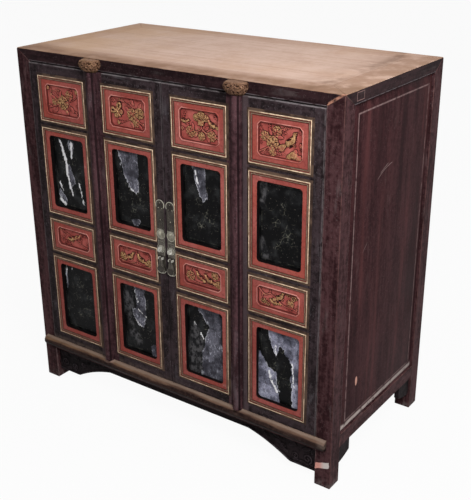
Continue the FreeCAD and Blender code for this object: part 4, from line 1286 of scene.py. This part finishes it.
# Where the black film has gone from each panel: rows of (across, down, half width) as shares
# of the window, from its top left corner. Kept is what the film still covers, worn is where it is
# rubbed thin, chalk is pale ground.
FLAKED = {
    ("fixed_leaf_left", "tall"): {
        "bared": [
            [(0.42, 0.42, 0.07), (0.50, 0.60, 0.10), (0.45, 0.70, 0.04)],
            [(0.12, 0.80, 0.05), (0.22, 0.90, 0.08)],
            [(0.55, 0.08, 0.09), (0.55, 0.20, 0.05)],
        ],
        "chalk": [
            [(0.22, 0.06, 0.020), (0.36, 0.30, 0.045), (0.38, 0.52, 0.020), (0.50, 0.80, 0.026)],
            [(0.56, 0.08, 0.034), (0.54, 0.27, 0.018)],
            [(0.72, 0.62, 0.010), (0.82, 0.90, 0.026)],
            [(0.12, 0.66, 0.026), (0.20, 0.78, 0.010)],
            [(0.10, 0.90, 0.030), (0.24, 0.97, 0.030)],
        ],
    },
    ("fixed_leaf_left", "low"): {
        "bared": [[(0.06, 0.10, 0.03), (0.08, 0.40, 0.01)]],
        "chalk": [
            [(0.10, 0.04, 0.014), (0.10, 0.14, 0.010)],
            [(0.28, 0.03, 0.010), (0.27, 0.07, 0.006)],
        ],
    },
    ("door_left", "tall"): {
        "bared": [
            [(0.36, 0.0, 0.26), (0.42, 0.25, 0.23), (0.50, 0.46, 0.15), (0.52, 0.53, 0.04)],
            [(0.50, 0.96, 0.08), (0.56, 0.93, 0.05)],
        ],
        "chalk": [[(0.36, 0.49, 0.012), (0.52, 0.545, 0.014)]],
    },
    ("door_left", "low"): {
        "bared": [
            [(0.50, 0.04, 0.17), (0.52, 0.20, 0.14), (0.52, 0.32, 0.13), (0.46, 0.44, 0.20),
             (0.50, 0.53, 0.12), (0.50, 0.59, 0.02)],
            [(0.85, 0.88, 0.10), (0.90, 0.97, 0.11)],
        ],
        "worn": [
            [(0.14, 0.10, 0.12), (0.18, 0.40, 0.16), (0.22, 0.58, 0.08)],
            [(0.28, 0.74, 0.12), (0.40, 0.82, 0.11)],
        ],
        "chalk": [
            [(0.33, 0.08, 0.008), (0.42, 0.24, 0.011)],
            [(0.44, 0.36, 0.008), (0.66, 0.44, 0.008)],
            [(0.26, 0.50, 0.006), (0.50, 0.60, 0.009)],
        ],
    },
    ("door_right", "tall"): {
        "bared": [[(0.38, 0.0, 0.15), (0.44, 0.20, 0.12), (0.50, 0.36, 0.10), (0.52, 0.43, 0.02)]],
        "chalk": [[(0.30, 0.07, 0.012), (0.36, 0.22, 0.010)]],
    },
    ("door_right", "low"): {
        "bared": [
            [(0.40, 0.05, 0.10), (0.64, 0.08, 0.24), (0.79, 0.22, 0.18), (0.80, 0.32, 0.18),
             (0.72, 0.47, 0.27), (0.72, 0.60, 0.27), (0.69, 0.72, 0.32), (0.70, 0.98, 0.31)],
        ],
        "worn": [[(0.18, 0.32, 0.10), (0.26, 0.48, 0.18), (0.20, 0.70, 0.20), (0.22, 0.96, 0.22)]],
        "kept": [[(0.98, 0.30, 0.05), (0.98, 0.50, 0.04)]],
        "chalk": [
            [(0.36, 0.39, 0.012), (0.43, 0.46, 0.009)],
            [(0.20, 0.26, 0.008), (0.23, 0.29, 0.006)],
        ],
    },
    ("fixed_leaf_right", "tall"): {
        "worn": [
            [(0.10, 0.02, 0.07), (0.06, 0.30, 0.05)],
            [(0.08, 0.76, 0.06), (0.14, 0.92, 0.09)],
        ],
    },
    ("fixed_leaf_right", "low"): {
        "bared": [[(0.5, 0.0, 1.0), (0.5, 1.0, 1.0)]],
        "kept": [
            [(0.06, 0.05, 0.16), (0.14, 0.28, 0.18), (0.34, 0.46, 0.16), (0.60, 0.52, 0.18),
             (0.64, 0.75, 0.17), (0.66, 1.0, 0.15)],
            [(0.54, 0.24, 0.04), (0.56, 0.38, 0.14), (0.70, 0.42, 0.10)],
        ],
        "chalk": [
            [(0.40, 0.22, 0.014), (0.42, 0.34, 0.008)],
            [(0.26, 0.60, 0.018), (0.30, 0.72, 0.012), (0.46, 0.86, 0.022)],
            [(0.80, 0.40, 0.010), (0.84, 0.70, 0.012)],
        ],
    },
}


def painted_spray(size, lean):
    """Brush strokes of a flowering stem about a panel's centre, as rows of (u, v)."""
    def scaled(points, u=0.0, v=0.0):
        return [((u + a) * size, (v + b) * size) for a, b in points]

    def loop(long, turn, fat):
        c, s = (part * long for part in direction(turn))
        left, right = (0.55 * c - fat * s, 0.55 * s + fat * c), (0.55 * c + fat * s, 0.55 * s - fat * c)
        return [(0, 0), left, (c, s), right, (0, 0)]

    strokes = [smooth_path(scaled([(-0.2, -1), (0.1 * lean, -0.3), (0.25 * lean, 0.3), (0, 0.9)]))]
    for u, v, reach in ((0.1, 0.55, 0.24), (-0.22, 0.05, 0.2), (0.25, -0.35, 0.26), (-0.1, -0.75, 0.18)):
        for k in range(5):
            strokes.append(smooth_path(scaled(loop(reach, 72 * k + 20, 0.4), u, v), 4))
    for u, v, turn in ((0.3, 0.1, 30), (-0.35, 0.4, 140), (0.35, -0.65, -20), (-0.4, -0.4, 200)):
        strokes.append(smooth_path(scaled(loop(0.3, turn, 0.3), u, v), 4))
    return strokes


# The marks of a sound, unpainted panel: far from every patch and stroke, in mm
FAR = 60.0
UNFLAKED = {"bared": -FAR, "worn": -FAR, "chalk": -FAR, "stroke": FAR}
# How far apart a panel's grid points are, how deep its film lies over the ground, and how far inside
# the window's edge the painted border line runs, in mm
LACQUER_PITCH = 1.6
FILM_DEPTH = 0.35
PAINTED_BORDER = 7.0


def lacquer_panels(leaf, material):
    """The black panels behind the red surrounds, with what is left of their film and painting."""
    body, left, right = LEAVES[leaf]
    form = bmesh.new()
    for row, (low, high) in LACQUER_ROWS.items():
        u, v = field_grid(right - left, high - low, LACQUER_PITCH)
        wide, tall = right - left - 2 * BOARD_BORDER, high - low - 2 * BOARD_BORDER
        flaked = FLAKED[leaf, row]

        def reach(kind):
            """How far inside the named patches each point is, in mm."""
            deepest = np.full(u.shape, -FAR)
            for patch in flaked.get(kind, []):
                path = [((a - 0.5) * wide, (0.5 - d) * tall, w * wide) for a, d, w in patch]
                away, radius = path_distance(u, v, path)
                deepest = np.maximum(deepest, radius - away)
            return deepest

        bared = np.minimum(reach("bared"), -reach("kept"))
        beside, above = np.abs(u) - wide / 2, np.abs(v) - tall / 2
        stroke = np.abs(np.maximum(beside, above) + PAINTED_BORDER)
        lean = 1 if leaf.endswith("right") else -1
        for brush in painted_spray(0.36 * tall, lean):
            away, _ = path_distance(u, v, [(*point, 0.0) for point in brush])
            stroke = np.minimum(stroke, away)
        marks = {"bared": bared, "worn": reach("worn"), "chalk": reach("chalk"), "stroke": stroke}
        sunk = -FILM_DEPTH * np.clip(bared / 3 + 0.5, 0, 1)
        x, z = u + (left + right) / 2, v + (low + high) / 2
        worked_slab(form, x, z, LACQUER_FACE, LACQUER_BACK, sunk, marks, UNFLAKED)
    mesh = slab_mesh(leaf + "_lacquer_panels", form)
    settle(mesh, body, "painted_black_lacquer", material, leaf + "_lacquer_boards")


# A boss from the middle of its flat top, over the rim and in to its foot: (share of reach, z)
BOSS_PROFILE = [
    (0.02, 998.0), (0.3, 998.0), (0.6, 997.9), (0.82, 997.4), (0.91, 996.0), (0.96, 993.0),
    (1.0, 989.0), (0.99, 985.0), (0.94, 980.0), (0.84, 975.0), (0.68, 971.0), (0.48, 968.2),
    (0.38, 967.5),
]
BOSS_TOP, BOSS_MIDDLE = 998.0, 982.0
# How far a boss reaches to each side and to the front, in mm
BOSS_ASIDE, BOSS_OUT = 30.0, 27.0
# Grid points down and round a boss, and half of its unrolled width, in mm
BOSS_ROWS, BOSS_COLUMNS = 84, 151
BOSS_UNROLLED = 44


def carve_boss(field):
    """A flower in the middle, flowers and leaves at the sides, and lotus petals round the foot."""
    for k in range(-3, 4):
        field.petal(12.0 * k, -17, 13, 11.0, 90, 0.6, 3.2, cup=0.5, vein=0.7, blunt=1.3)
        field.pocket(12.0 * k + 6.0, -9, 5, 6, 0, 2.5)
    for side in (-1, 1):
        for turn in (-30, 8, 44):
            heading = turn if side > 0 else 180 - turn
            field.petal(8 * side, 1, 22, 9.0, heading, 0.6, 3.4, cup=0.5, vein=0.7, blunt=1.3)
        field.peony(26 * side, 2, 11, 0, 4.2)
        field.leaf(37 * side, -2, 13, 90 - 60 * side, 3.2)
        field.pocket(14 * side, 9, 9, 4, 20 * side, 3.0)
        field.pocket(15 * side, -5, 8, 4, -30 * side, 3.0)
        field.pocket(37 * side, 8, 6, 5, 0, 3.0)
    field.peony(0, 1, 13, 0, 4.8)
    field.pocket(-4, 4, 7, 3.4, 30, 3.0)
    field.pocket(5, -3, 7, 3.4, -40, 3.0)
    for k in range(-9, 10):
        field.lump(4.8 * k, 12.6, 3.8, 2.8, 2.6)


def carved_bosses(material):
    """The two gilt bosses over the door pivots: half round corbels that taper to their feet."""
    shares, levels = (np.array(part) for part in zip(*BOSS_PROFILE))
    out, down = np.diff(shares * BOSS_OUT, prepend=0), np.diff(levels, prepend=BOSS_TOP)
    along = np.cumsum(np.hypot(out, down))
    steps = np.linspace(along[0], along[-1], BOSS_ROWS)
    share = np.interp(steps, along, shares)[:, None]
    level = np.interp(steps, along, levels)[:, None]
    turn = np.linspace(-math.pi / 2, math.pi / 2, BOSS_COLUMNS)[None, :]
    aside, ahead = np.sin(turn), np.maximum(np.cos(turn), 0)
    across = BOSS_ASIDE * share * np.sign(aside) * np.abs(aside) ** 0.85
    out = BOSS_OUT * share * ahead ** 0.75
    inner = np.clip(1 - share, 0, 1) * (level > 990) * 30
    u = turn / (math.pi / 2) * BOSS_UNROLLED + 0 * share
    v = level - BOSS_MIDDLE + inner + 0 * turn
    field = Carving(u, v, 0.25)
    carve_boss(field)
    hollow = field.hollow(3, 7)
    raised = field.rise * np.clip(4 * ahead, 0, 1) * np.clip((16.5 - v) / 3, 0, 1)
    lean = np.gradient(share[:, 0] * BOSS_OUT, steps)[:, None]
    spread = np.sqrt(np.clip(1 - lean ** 2, 0, 1))
    across = across + raised * spread * aside
    out = out + raised * spread * ahead
    height = level + np.clip(raised * np.abs(lean) * np.sign(level - BOSS_MIDDLE), -3, 0.5)
    marks = {"hollow": np.where(v < 15, hollow, -0.3)}
    form = bmesh.new()
    for centre in (-COLUMN_X, COLUMN_X):
        grid = sheet(form, centre + across, FRONT + 0.5 - out, height, marks)
        form.faces.new(grid[0])
        form.faces.new(grid[-1])
        form.faces.new([row[0] for row in grid] + [row[-1] for row in reversed(grid)])
    mesh = swept_mesh("carved_bosses", form, 80)
    settle(mesh, "carcass", "gilt_boss", material, "pivot_bosses")


# The apron's lower edge, in mm: level in the middle, then down a bowed slope to the level feet
APRON_TOP = 101.0
APRON_MIDDLE_LOW = 78.0
APRON_FOOT_LOW = 27.0
APRON_SLOPE = (247.0, 375.0)
APRON_BOW = 6.0
APRON_CARVED, APRON_END = 236.0, 453.0
# Grid points along and up each carved end
APRON_COLUMNS, APRON_ROWS = 262, 90
# Leaves carved on the apron's ends: (x, z, length, turn)
APRON_LEAVES = (
    (412, 78, 30, 25), (440, 74, 24, 70), (396, 82, 28, 150), (372, 76, 26, 35), (344, 88, 24, 160),
    (330, 82, 22, -30), (306, 92, 20, 170), (296, 86, 18, -25), (274, 92, 18, 175), (404, 44, 24, -20),
    (446, 42, 20, 60), (370, 52, 20, 150), (384, 40, 18, 10), (416, 34, 20, 20),
)


def apron_low(x):
    """The apron's lower edge at x mm from the middle."""
    start, end = APRON_SLOPE
    t = np.clip((x - start) / (end - start), 0, 1)
    fall = (APRON_MIDDLE_LOW - APRON_FOOT_LOW) * t
    return APRON_MIDDLE_LOW - fall + APRON_BOW * (1 - (2 * t - 1) ** 2) * (t > 0) * (t < 1)


def apron_scrolls(material):
    """Scrolls and leaves carved in low relief on both ends of the apron."""
    form = bmesh.new()
    x = np.linspace(APRON_CARVED, APRON_END, APRON_COLUMNS)[None, :]
    share = np.linspace(0, 1, APRON_ROWS)[:, None]
    low = apron_low(x) + 1.2
    z = low + share * (APRON_TOP - low)
    x = x + 0 * share
    field = Carving(x, z, 0.12)
    rim = [(at, float(apron_low(np.array(at))) + 4.4) for at in np.linspace(238, APRON_END - 1, 24)]
    field.stem(rim, 5.6, 3.2, 1.0)
    field.scroll(428, 56, 14, -60, 1, 5.0, 3.2)
    field.scroll(392, 52, 10, 200, -1, 4.4, 3.0)
    field.scroll(356, 68, 8, 220, -1, 3.8, 2.8)
    for u, v, long, turn in APRON_LEAVES:
        field.petal(u, v, long, 0.46 * long, turn, 0.6, 3.0, vein=0.9, blunt=0.9)
    hollow = np.clip((blurred(field.rise, 3) - field.rise) / 0.7, -1, 1)
    for side in (1, -1):
        ends = slice(None, None, side)
        rise, mark = field.rise[:, ends], {"hollow": hollow[:, ends]}
        worked_slab(form, side * x[:, ends], z[:, ends], APRON_FACE, APRON_BACK, rise, mark)
    mesh = slab_mesh("apron_scrolls", form)
    settle(mesh, "carcass", "dark_lacquer", material)


class Growth(Nodes):
    """A Geometry Nodes tree while it is built, with a named input for each of its sizes."""

    def __init__(self, name, sizes):
        super().__init__(bpy.data.node_groups.new(name, "GeometryNodeTree"))
        sockets = self.tree.interface
        sockets.new_socket("Geometry", in_out="INPUT", socket_type="NodeSocketGeometry")
        for size in sizes:
            sockets.new_socket(size, in_out="INPUT", socket_type="NodeSocketFloat")
        sockets.new_socket("Geometry", in_out="OUTPUT", socket_type="NodeSocketGeometry")

    def given(self, name):
        return self.node("NodeGroupInput", out=name)

    def close(self, instances, material):
        real = self.node("GeometryNodeRealizeInstances", None, {"Geometry": instances})
        sockets = {"Geometry": real, "Material": material}
        dressed = self.node("GeometryNodeSetMaterial", None, sockets)
        self.node("NodeGroupOutput", None, {0: dressed})
        return self.tree


def dome_tree(name, segments, material):
    """Sets a dome on every point of its host, turned by the point's own turn attribute."""
    tree = Growth(name, ["Long", "Wide", "High"])
    sockets = {"Segments": segments, "Rings": 8, "Radius": 1.0}
    ball = tree.node("GeometryNodeMeshUVSphere", None, sockets)
    sockets = {"X": tree.given("Long"), "Y": tree.given("High"), "Z": tree.given("Wide")}
    size = tree.node("ShaderNodeCombineXYZ", None, sockets)
    dome = tree.node("GeometryNodeTransform", None, {"Geometry": ball, "Scale": size})
    turn = tree.node("GeometryNodeInputNamedAttribute", {"data_type": "FLOAT"}, {"Name": "turn"})
    spin = tree.node("ShaderNodeCombineXYZ", None, {"Y": turn})
    sockets = {"Points": tree.given("Geometry"), "Instance": dome, "Rotation": spin}
    return tree.close(tree.node("GeometryNodeInstanceOnPoints", None, sockets), material)


def grown(name, points, tree, sizes, turns=None):
    """The plain mesh that a tree makes on points, given in mm like the sizes."""
    host_mesh = bpy.data.meshes.new("host")
    host_mesh.from_pydata([Vector(p) * MM for p in points], [], [])
    if turns:
        turn = host_mesh.attributes.new("turn", "FLOAT", "POINT")
        turn.data.foreach_set("value", turns)
    host = bpy.data.objects.new("host", host_mesh)
    bpy.context.scene.collection.objects.link(host)
    modifier = host.modifiers.new("grow", "NODES")
    modifier.node_group = tree
    for item in tree.interface.items_tree:
        if item.in_out == "INPUT" and item.name in sizes:
            modifier[item.identifier] = sizes[item.name] * MM
    seen = host.evaluated_get(bpy.context.evaluated_depsgraph_get())
    mesh = bpy.data.meshes.new_from_object(seen)
    mesh.name = name
    host.modifiers.remove(modifier)
    bpy.data.objects.remove(host)
    for face in mesh.polygons:
        face.use_smooth = True
    return mesh


# How far the lock plates are from the middle, and the heights of their parts, in mm
PLATE_ASIDE = 16.5
PLATE_LOW, PLATE_HIGH = 463.05, 666.95
TOP_LOBE, MEDALLION, EYE, FOOT_LOBE = 653.0, 573.0, 533.0, 477.0
LOBE_RADIUS = 14.0
SHAFT_HALF = 11.0
PULL_LOW, PULL_HIGH = 466.3, 502.0
DROP_MIDDLE, DROP_RADIUS = 477.5, 11.3
NECK_LOW, NECK_HALF = 486.0, 2.6
# Grid points across a chased face, and up the plate and the pull
CHASED_COLUMNS, PLATE_ROWS, PULL_ROWS = 45, 380, 90


def plate_half(z):
    """Half the lock plate's width at height z, in mm: a shaft with four round lobes."""
    half = np.where((z >= FOOT_LOBE) & (z <= TOP_LOBE), SHAFT_HALF, 0.0)
    for lobe in (FOOT_LOBE, EYE, MEDALLION, TOP_LOBE):
        half = np.maximum(half, np.sqrt(np.clip(LOBE_RADIUS ** 2 - (z - lobe) ** 2, 0, None)))
    return half


def pull_half(z):
    """Half the drop pull's width at height z: a round drop on a flared neck."""
    drop = np.sqrt(np.clip(DROP_RADIUS ** 2 - (z - DROP_MIDDLE) ** 2, 0, None))
    return np.where(z > NECK_LOW, np.maximum(drop, NECK_HALF), drop)


def worked_plate(name, body, centre, heights, half_at, front, back, chase, material, *stands_for):
    """A metal plate whose edge follows half_at, chased by the given function."""
    share = np.linspace(-1, 1, CHASED_COLUMNS)[None, :]
    z = heights[:, None] + 0 * share
    half = half_at(z)
    u = share * half
    field = Carving(u, z, 0.04)
    edge = [(half_at(h), h, 0.0) for h in heights]
    right, _ = path_distance(u, z, edge)
    left, _ = path_distance(-u, z, edge)
    chase(field, np.minimum(right, left))
    form = bmesh.new()
    hollow = np.clip((blurred(field.rise, 2) - field.rise) / 0.3, -1, 1)
    worked_slab(form, centre + u, z, front, back, field.rise, {"hollow": hollow, "tone": field.tone})
    settle(slab_mesh(name, form), body, "tarnished_brass", material, *stands_for)


def chase_lock_plate(field, edge):
    """A raised edge, cusped arches in the end lobes, curls on the shaft and rings round the eye."""
    medal = np.hypot(field.u, field.v - MEDALLION)
    eye = np.hypot(field.u, field.v - EYE)
    field.shade(field.v > 588, -0.62)
    field.shade(field.v < 515, -0.7)
    field.shade(np.hypot(field.u, field.v - TOP_LOBE + 2) < 9, -1.0)
    field.shade(medal < 13, 0.5)
    field.shade(eye < 11, 0.4)
    field.lay(edge < 1.3, 0.25 + 0.45 * np.sqrt(np.clip(1 - ((edge - 0.65) / 0.65) ** 2, 0, 1)))
    rubbed = (edge < 2.0) & ((field.v > TOP_LOBE - 6) | (field.v < FOOT_LOBE - 4))
    field.shade(rubbed, 1.0)
    for foot, hand in ((640.0, 1), (490.0, -1)):
        arch = [(-8.6, 0), (-8.4, 8), (-4.4, 12), (-2.4, 16), (0, 20.5)]
        for side in (-1, 1):
            field.stem([(side * u, foot + hand * v) for u, v in arch], 1.9, 0.9, 0.9)
    for z in (594, 602, 621, 629):
        for side in (-1, 1):
            field.scroll(4.4 * side, z, 3.6, 90, side, 1.2, 0.6)
    for z in (586, 608, 616, 637, 553):
        field.stem([(-9, z), (0, z + 1.5), (9, z)], 1.0, 0.55, 1.0)
    field.lay(np.abs(eye - 9) < 0.8, 0.7 + 0 * eye)
    field.lay(np.abs(medal - 12.2) < 0.7, 0.75 + 0 * medal)


def chase_pull(field, edge):
    """A leaf in low relief, dark in the middle, with a raised and rubbed edge."""
    field.rise = field.rise + 0.5 * np.clip(edge / 6, 0, 1)
    field.lay(edge < 1.1, 0.55 + 0 * edge)
    for turn in (-140, -115, -90, -65, -40):
        field.petal(0, 486, 17, 5.0, turn, 0.5, 1.1, vein=0.3, blunt=1.4)
    low = np.clip((DROP_MIDDLE - 3 - field.v) / 5, 0, 1)
    field.tone = np.where(edge < 1.6, 0.9 * low, -0.7)


def lock_dressing(side, sign, dull, pale):
    """The chased plate with its flower medallion and studs, and the chased face of the pull."""
    body = "door_" + side
    centre = PLATE_ASIDE * sign
    plate_rows = np.linspace(PLATE_LOW, PLATE_HIGH, PLATE_ROWS)
    worked_plate(
        body + "_chased_plate", body, centre, plate_rows, plate_half,
        PLATE_FACE, LEAF_FACE, chase_lock_plate, dull, body + "_lock_plate",
    )
    pull_rows = np.linspace(PULL_LOW, PULL_HIGH, PULL_ROWS)
    worked_plate(
        body + "_chased_pull", "pull_" + side, centre, pull_rows, pull_half,
        PULL_FACE, PULL_BACK, chase_pull, dull,
    )
    points, turns = [], []
    for count, reach, lift in ((10, 7.4, 0.3), (7, 4.0, 1.0)):
        for k in range(count):
            x, z = polar(centre, MEDALLION, reach, 360 * k / count)
            points.append((x, PLATE_FACE - lift, z))
            turns.append(-2 * math.pi * k / count)
    petal = {"Long": 3.7, "Wide": 2.0, "High": 1.1}
    mesh = grown(body + "_medallion", points, ROSETTE, petal, turns)
    settle(mesh, body, "tarnished_brass", pale)
    studs = {
        "_plate_studs": ([(0, 659), (0, 613), (0, 471)], 1.8, 1.2, [body + "_plate_nails"]),
        "_medallion_eye": ([(0, MEDALLION)], 3.0, 2.4, []),
        "_arch_studs": ([(-5.4, 645), (5.4, 645), (-7, EYE), (7, EYE)], 1.2, 0.9, []),
    }
    for name, (spots, radius, height, nodes) in studs.items():
        points = [(centre + u, PLATE_FACE, z) for u, z in spots]
        mesh = grown(body + name, points, STUDS, {"Long": radius, "Wide": radius, "High": height})
        settle(mesh, body, "tarnished_brass", pale, *nodes)


# The fitted camera: its azimuth, elevation and roll in degrees, its place in metres, its lens in mm
CAMERA_TURNS = (35.6584, 22.8457, -0.3888)
CAMERA_PLACE = (1.38246, -1.861, 1.4268)
CAMERA_LENS, CAMERA_SENSOR = 64.53, 36.0


def photo_camera():
    """The camera where the photograph was taken from."""
    azimuth, elevation, roll = (math.radians(turn) for turn in CAMERA_TURNS)
    flat = math.cos(elevation)
    back = Vector((math.sin(azimuth) * flat, -math.cos(azimuth) * flat, math.sin(elevation)))
    level = Vector((math.cos(azimuth), math.sin(azimuth), 0))
    plumb = back.cross(level)
    right = level * math.cos(roll) + plumb * math.sin(roll)
    up = plumb * math.cos(roll) - level * math.sin(roll)
    lens = bpy.data.cameras.new("photo_camera")
    lens.lens = CAMERA_LENS
    lens.sensor_width = CAMERA_SENSOR
    camera = bpy.data.objects.new("photo_camera", lens)
    bpy.context.scene.collection.objects.link(camera)
    turned = Matrix((right, up, back)).transposed().to_4x4()
    camera.matrix_world = Matrix.Translation(CAMERA_PLACE) @ turned
    bpy.context.scene.camera = camera


def looked_at(nodes):
    """1 where the camera sees a thing, straight, in a shine or through glass, and 0 for its light."""
    straight = nodes.node("ShaderNodeLightPath", out="Is Camera Ray")
    shine = nodes.node("ShaderNodeLightPath", out="Is Glossy Ray")
    through = nodes.node("ShaderNodeLightPath", out="Is Transmission Ray")
    return straight.most(shine).most(through)


# The surround's light, how far the floor glows to the camera, and the floor's half width in metres
SURROUND_LIGHT = 0.14
FLOOR_GLOW = 0.95
FLOOR_REACH = 40.0
# Each lamp's place and size in metres, and its power in watts
LAMPS = {
    "key_lamp": ((1.40, -1.30, 2.05), 0.9, 58.0),
    "side_lamp": ((3.4, 0.3, 1.8), 2.4, 20.0),
    "top_lamp": ((0.0, 0.1, 3.4), 2.4, 20.0),
}
LAMP_AIM = (0, 0, 0.5)


def studio():
    """A pale floor, a white surround and three soft lamps."""
    world = bpy.data.worlds.new("white_surround")
    bpy.context.scene.world = world
    world.use_nodes = True
    air = Nodes(world.node_tree)
    strength = SURROUND_LIGHT + (1 - SURROUND_LIGHT) * looked_at(air)
    sky = air.node("ShaderNodeBackground", None, {"Color": (1, 1, 1, 1), "Strength": strength})
    air.node("ShaderNodeOutputWorld", None, {"Surface": sky})

    corners = [(x, y, 0) for x, y in rectangle(-FLOOR_REACH, FLOOR_REACH, -FLOOR_REACH, FLOOR_REACH)]
    floor_mesh = bpy.data.meshes.new("floor")
    floor_mesh.from_pydata(corners, [], [(0, 1, 2, 3)])
    floor = bpy.data.objects.new("floor", floor_mesh)
    bpy.context.scene.collection.objects.link(floor)
    pale = bpy.data.materials.new("pale_floor")
    pale.use_nodes = True
    ground = Nodes(pale.node_tree)
    matt = ground.node("ShaderNodeBsdfDiffuse", None, {"Color": (0.55, 0.55, 0.55, 1)})
    glow = ground.node("ShaderNodeEmission", None, {"Color": (1, 1, 1, 1), "Strength": 1.0})
    sockets = {0: FLOOR_GLOW * looked_at(ground), 1: matt, 2: glow}
    both = ground.node("ShaderNodeMixShader", None, sockets)
    ground.node("ShaderNodeOutputMaterial", None, {"Surface": both})
    floor_mesh.materials.append(pale)

    for name, (place, size, power) in LAMPS.items():
        light = bpy.data.lights.new(name, "AREA")
        light.size = size
        light.energy = power
        lamp = bpy.data.objects.new(name, light)
        bpy.context.scene.collection.objects.link(lamp)
        lamp.location = place
        aim = Vector(LAMP_AIM) - Vector(place)
        lamp.rotation_euler = aim.to_track_quat("-Z", "Y").to_euler()


# The view, the light and the finishes
bpy.context.scene.view_settings.view_transform = "Standard"
photo_camera()
studio()

upright_lacquer = post_lacquer()
level_lacquer = lacquer("dark_lacquer_level", "x", POST)
cross_lacquer = lacquer("dark_lacquer_cross", "y", POST)
leaf_upright = leaf_lacquer("black_lacquer_upright", "z")
leaf_level = leaf_lacquer("black_lacquer_level", "x")
column_finish = column_lacquer()
side_finish = side_panel_lacquer()
apron_finish = apron_lacquer()
# The wall colours are painted shade: near black in the surrounds' windows, dark red on the carved
# boards' walls
surround_red = red_lacquer("red_lacquer", (17, 12, 12))
board_red = red_lacquer("carved_red_lacquer", (70, 30, 25))
gilding = carved_gilding()
flaked_black = painted_black_lacquer()
gilt = gilt_moulding()
boss_gilt = gilt_boss()
bead_finish = worn_moulding()
top_wood = bare_top_wood()
inside_wood = inner_wood()
brass = tarnished_brass("tarnished_brass", (62, 58, 53), (108, 102, 94))
pale_brass = tarnished_brass("rubbed_brass", (110, 106, 94), (178, 174, 158))
bright_brass = tarnished_brass("bright_brass", (168, 166, 158), (226, 224, 216))
STUDS = dome_tree("plate_studs", 14, pale_brass)
ROSETTE = dome_tree("medallion_petals", 12, pale_brass)

# The carcass
for corner in ("front_left", "front_right", "back_left", "back_right"):
    softened("post_" + corner, upright_lacquer, 1.6)
for edge, grain in (("front", "x"), ("back", "x"), ("left", "y"), ("right", "y")):
    softened("top_rail_" + edge, top_rail_lacquer(grain), 0.9)
    softened("bottom_rail_" + edge, level_lacquer if grain == "x" else cross_lacquer)
softened("apron_front", apron_finish)
apron_scrolls(apron_finish)
softened("side_brackets", apron_finish)
base_moulding(bead_finish)
for side in ("left", "right"):
    softened("side_panel_" + side, side_finish, 0.7)
softened("top_boards", top_wood, 0.5)
for node in ("back_boards", "floor_boards", "shelf_boards", "shelf_bearers", "top_battens", "door_stop"):
    softened(node, inside_wood, 0.6)

# The leaves, their columns and locks, and the bosses over them
for leaf in LEAVES:
    softened(leaf + "_rails", leaf_level, 0.7)
    softened(leaf + "_red_surrounds", surround_red, 0.8)
    softened(leaf + "_carved_boards", board_red, 0.5)
    gilt_lines(leaf, gilt)
    carved_lips(leaf, board_red)
    carved_reliefs(leaf, gilding)
    lacquer_panels(leaf, flaked_black)
for side, sign in (("left", -1), ("right", 1)):
    softened("fixed_leaf_" + side + "_stiles", leaf_upright, 0.9)
    softened("door_" + side + "_meeting_stile", leaf_upright, 0.9)
    softened("door_" + side + "_pivot_stile", column_finish, 0.7)
    column_reed("door_" + side, sign, column_finish)
    softened("door_" + side + "_lock_fittings", bright_brass, 0.3)
    softened("door_" + side + "_drop_pull", brass, 0.4)
    lock_dressing(side, sign, brass, pale_brass)
carved_bosses(boss_gilt)
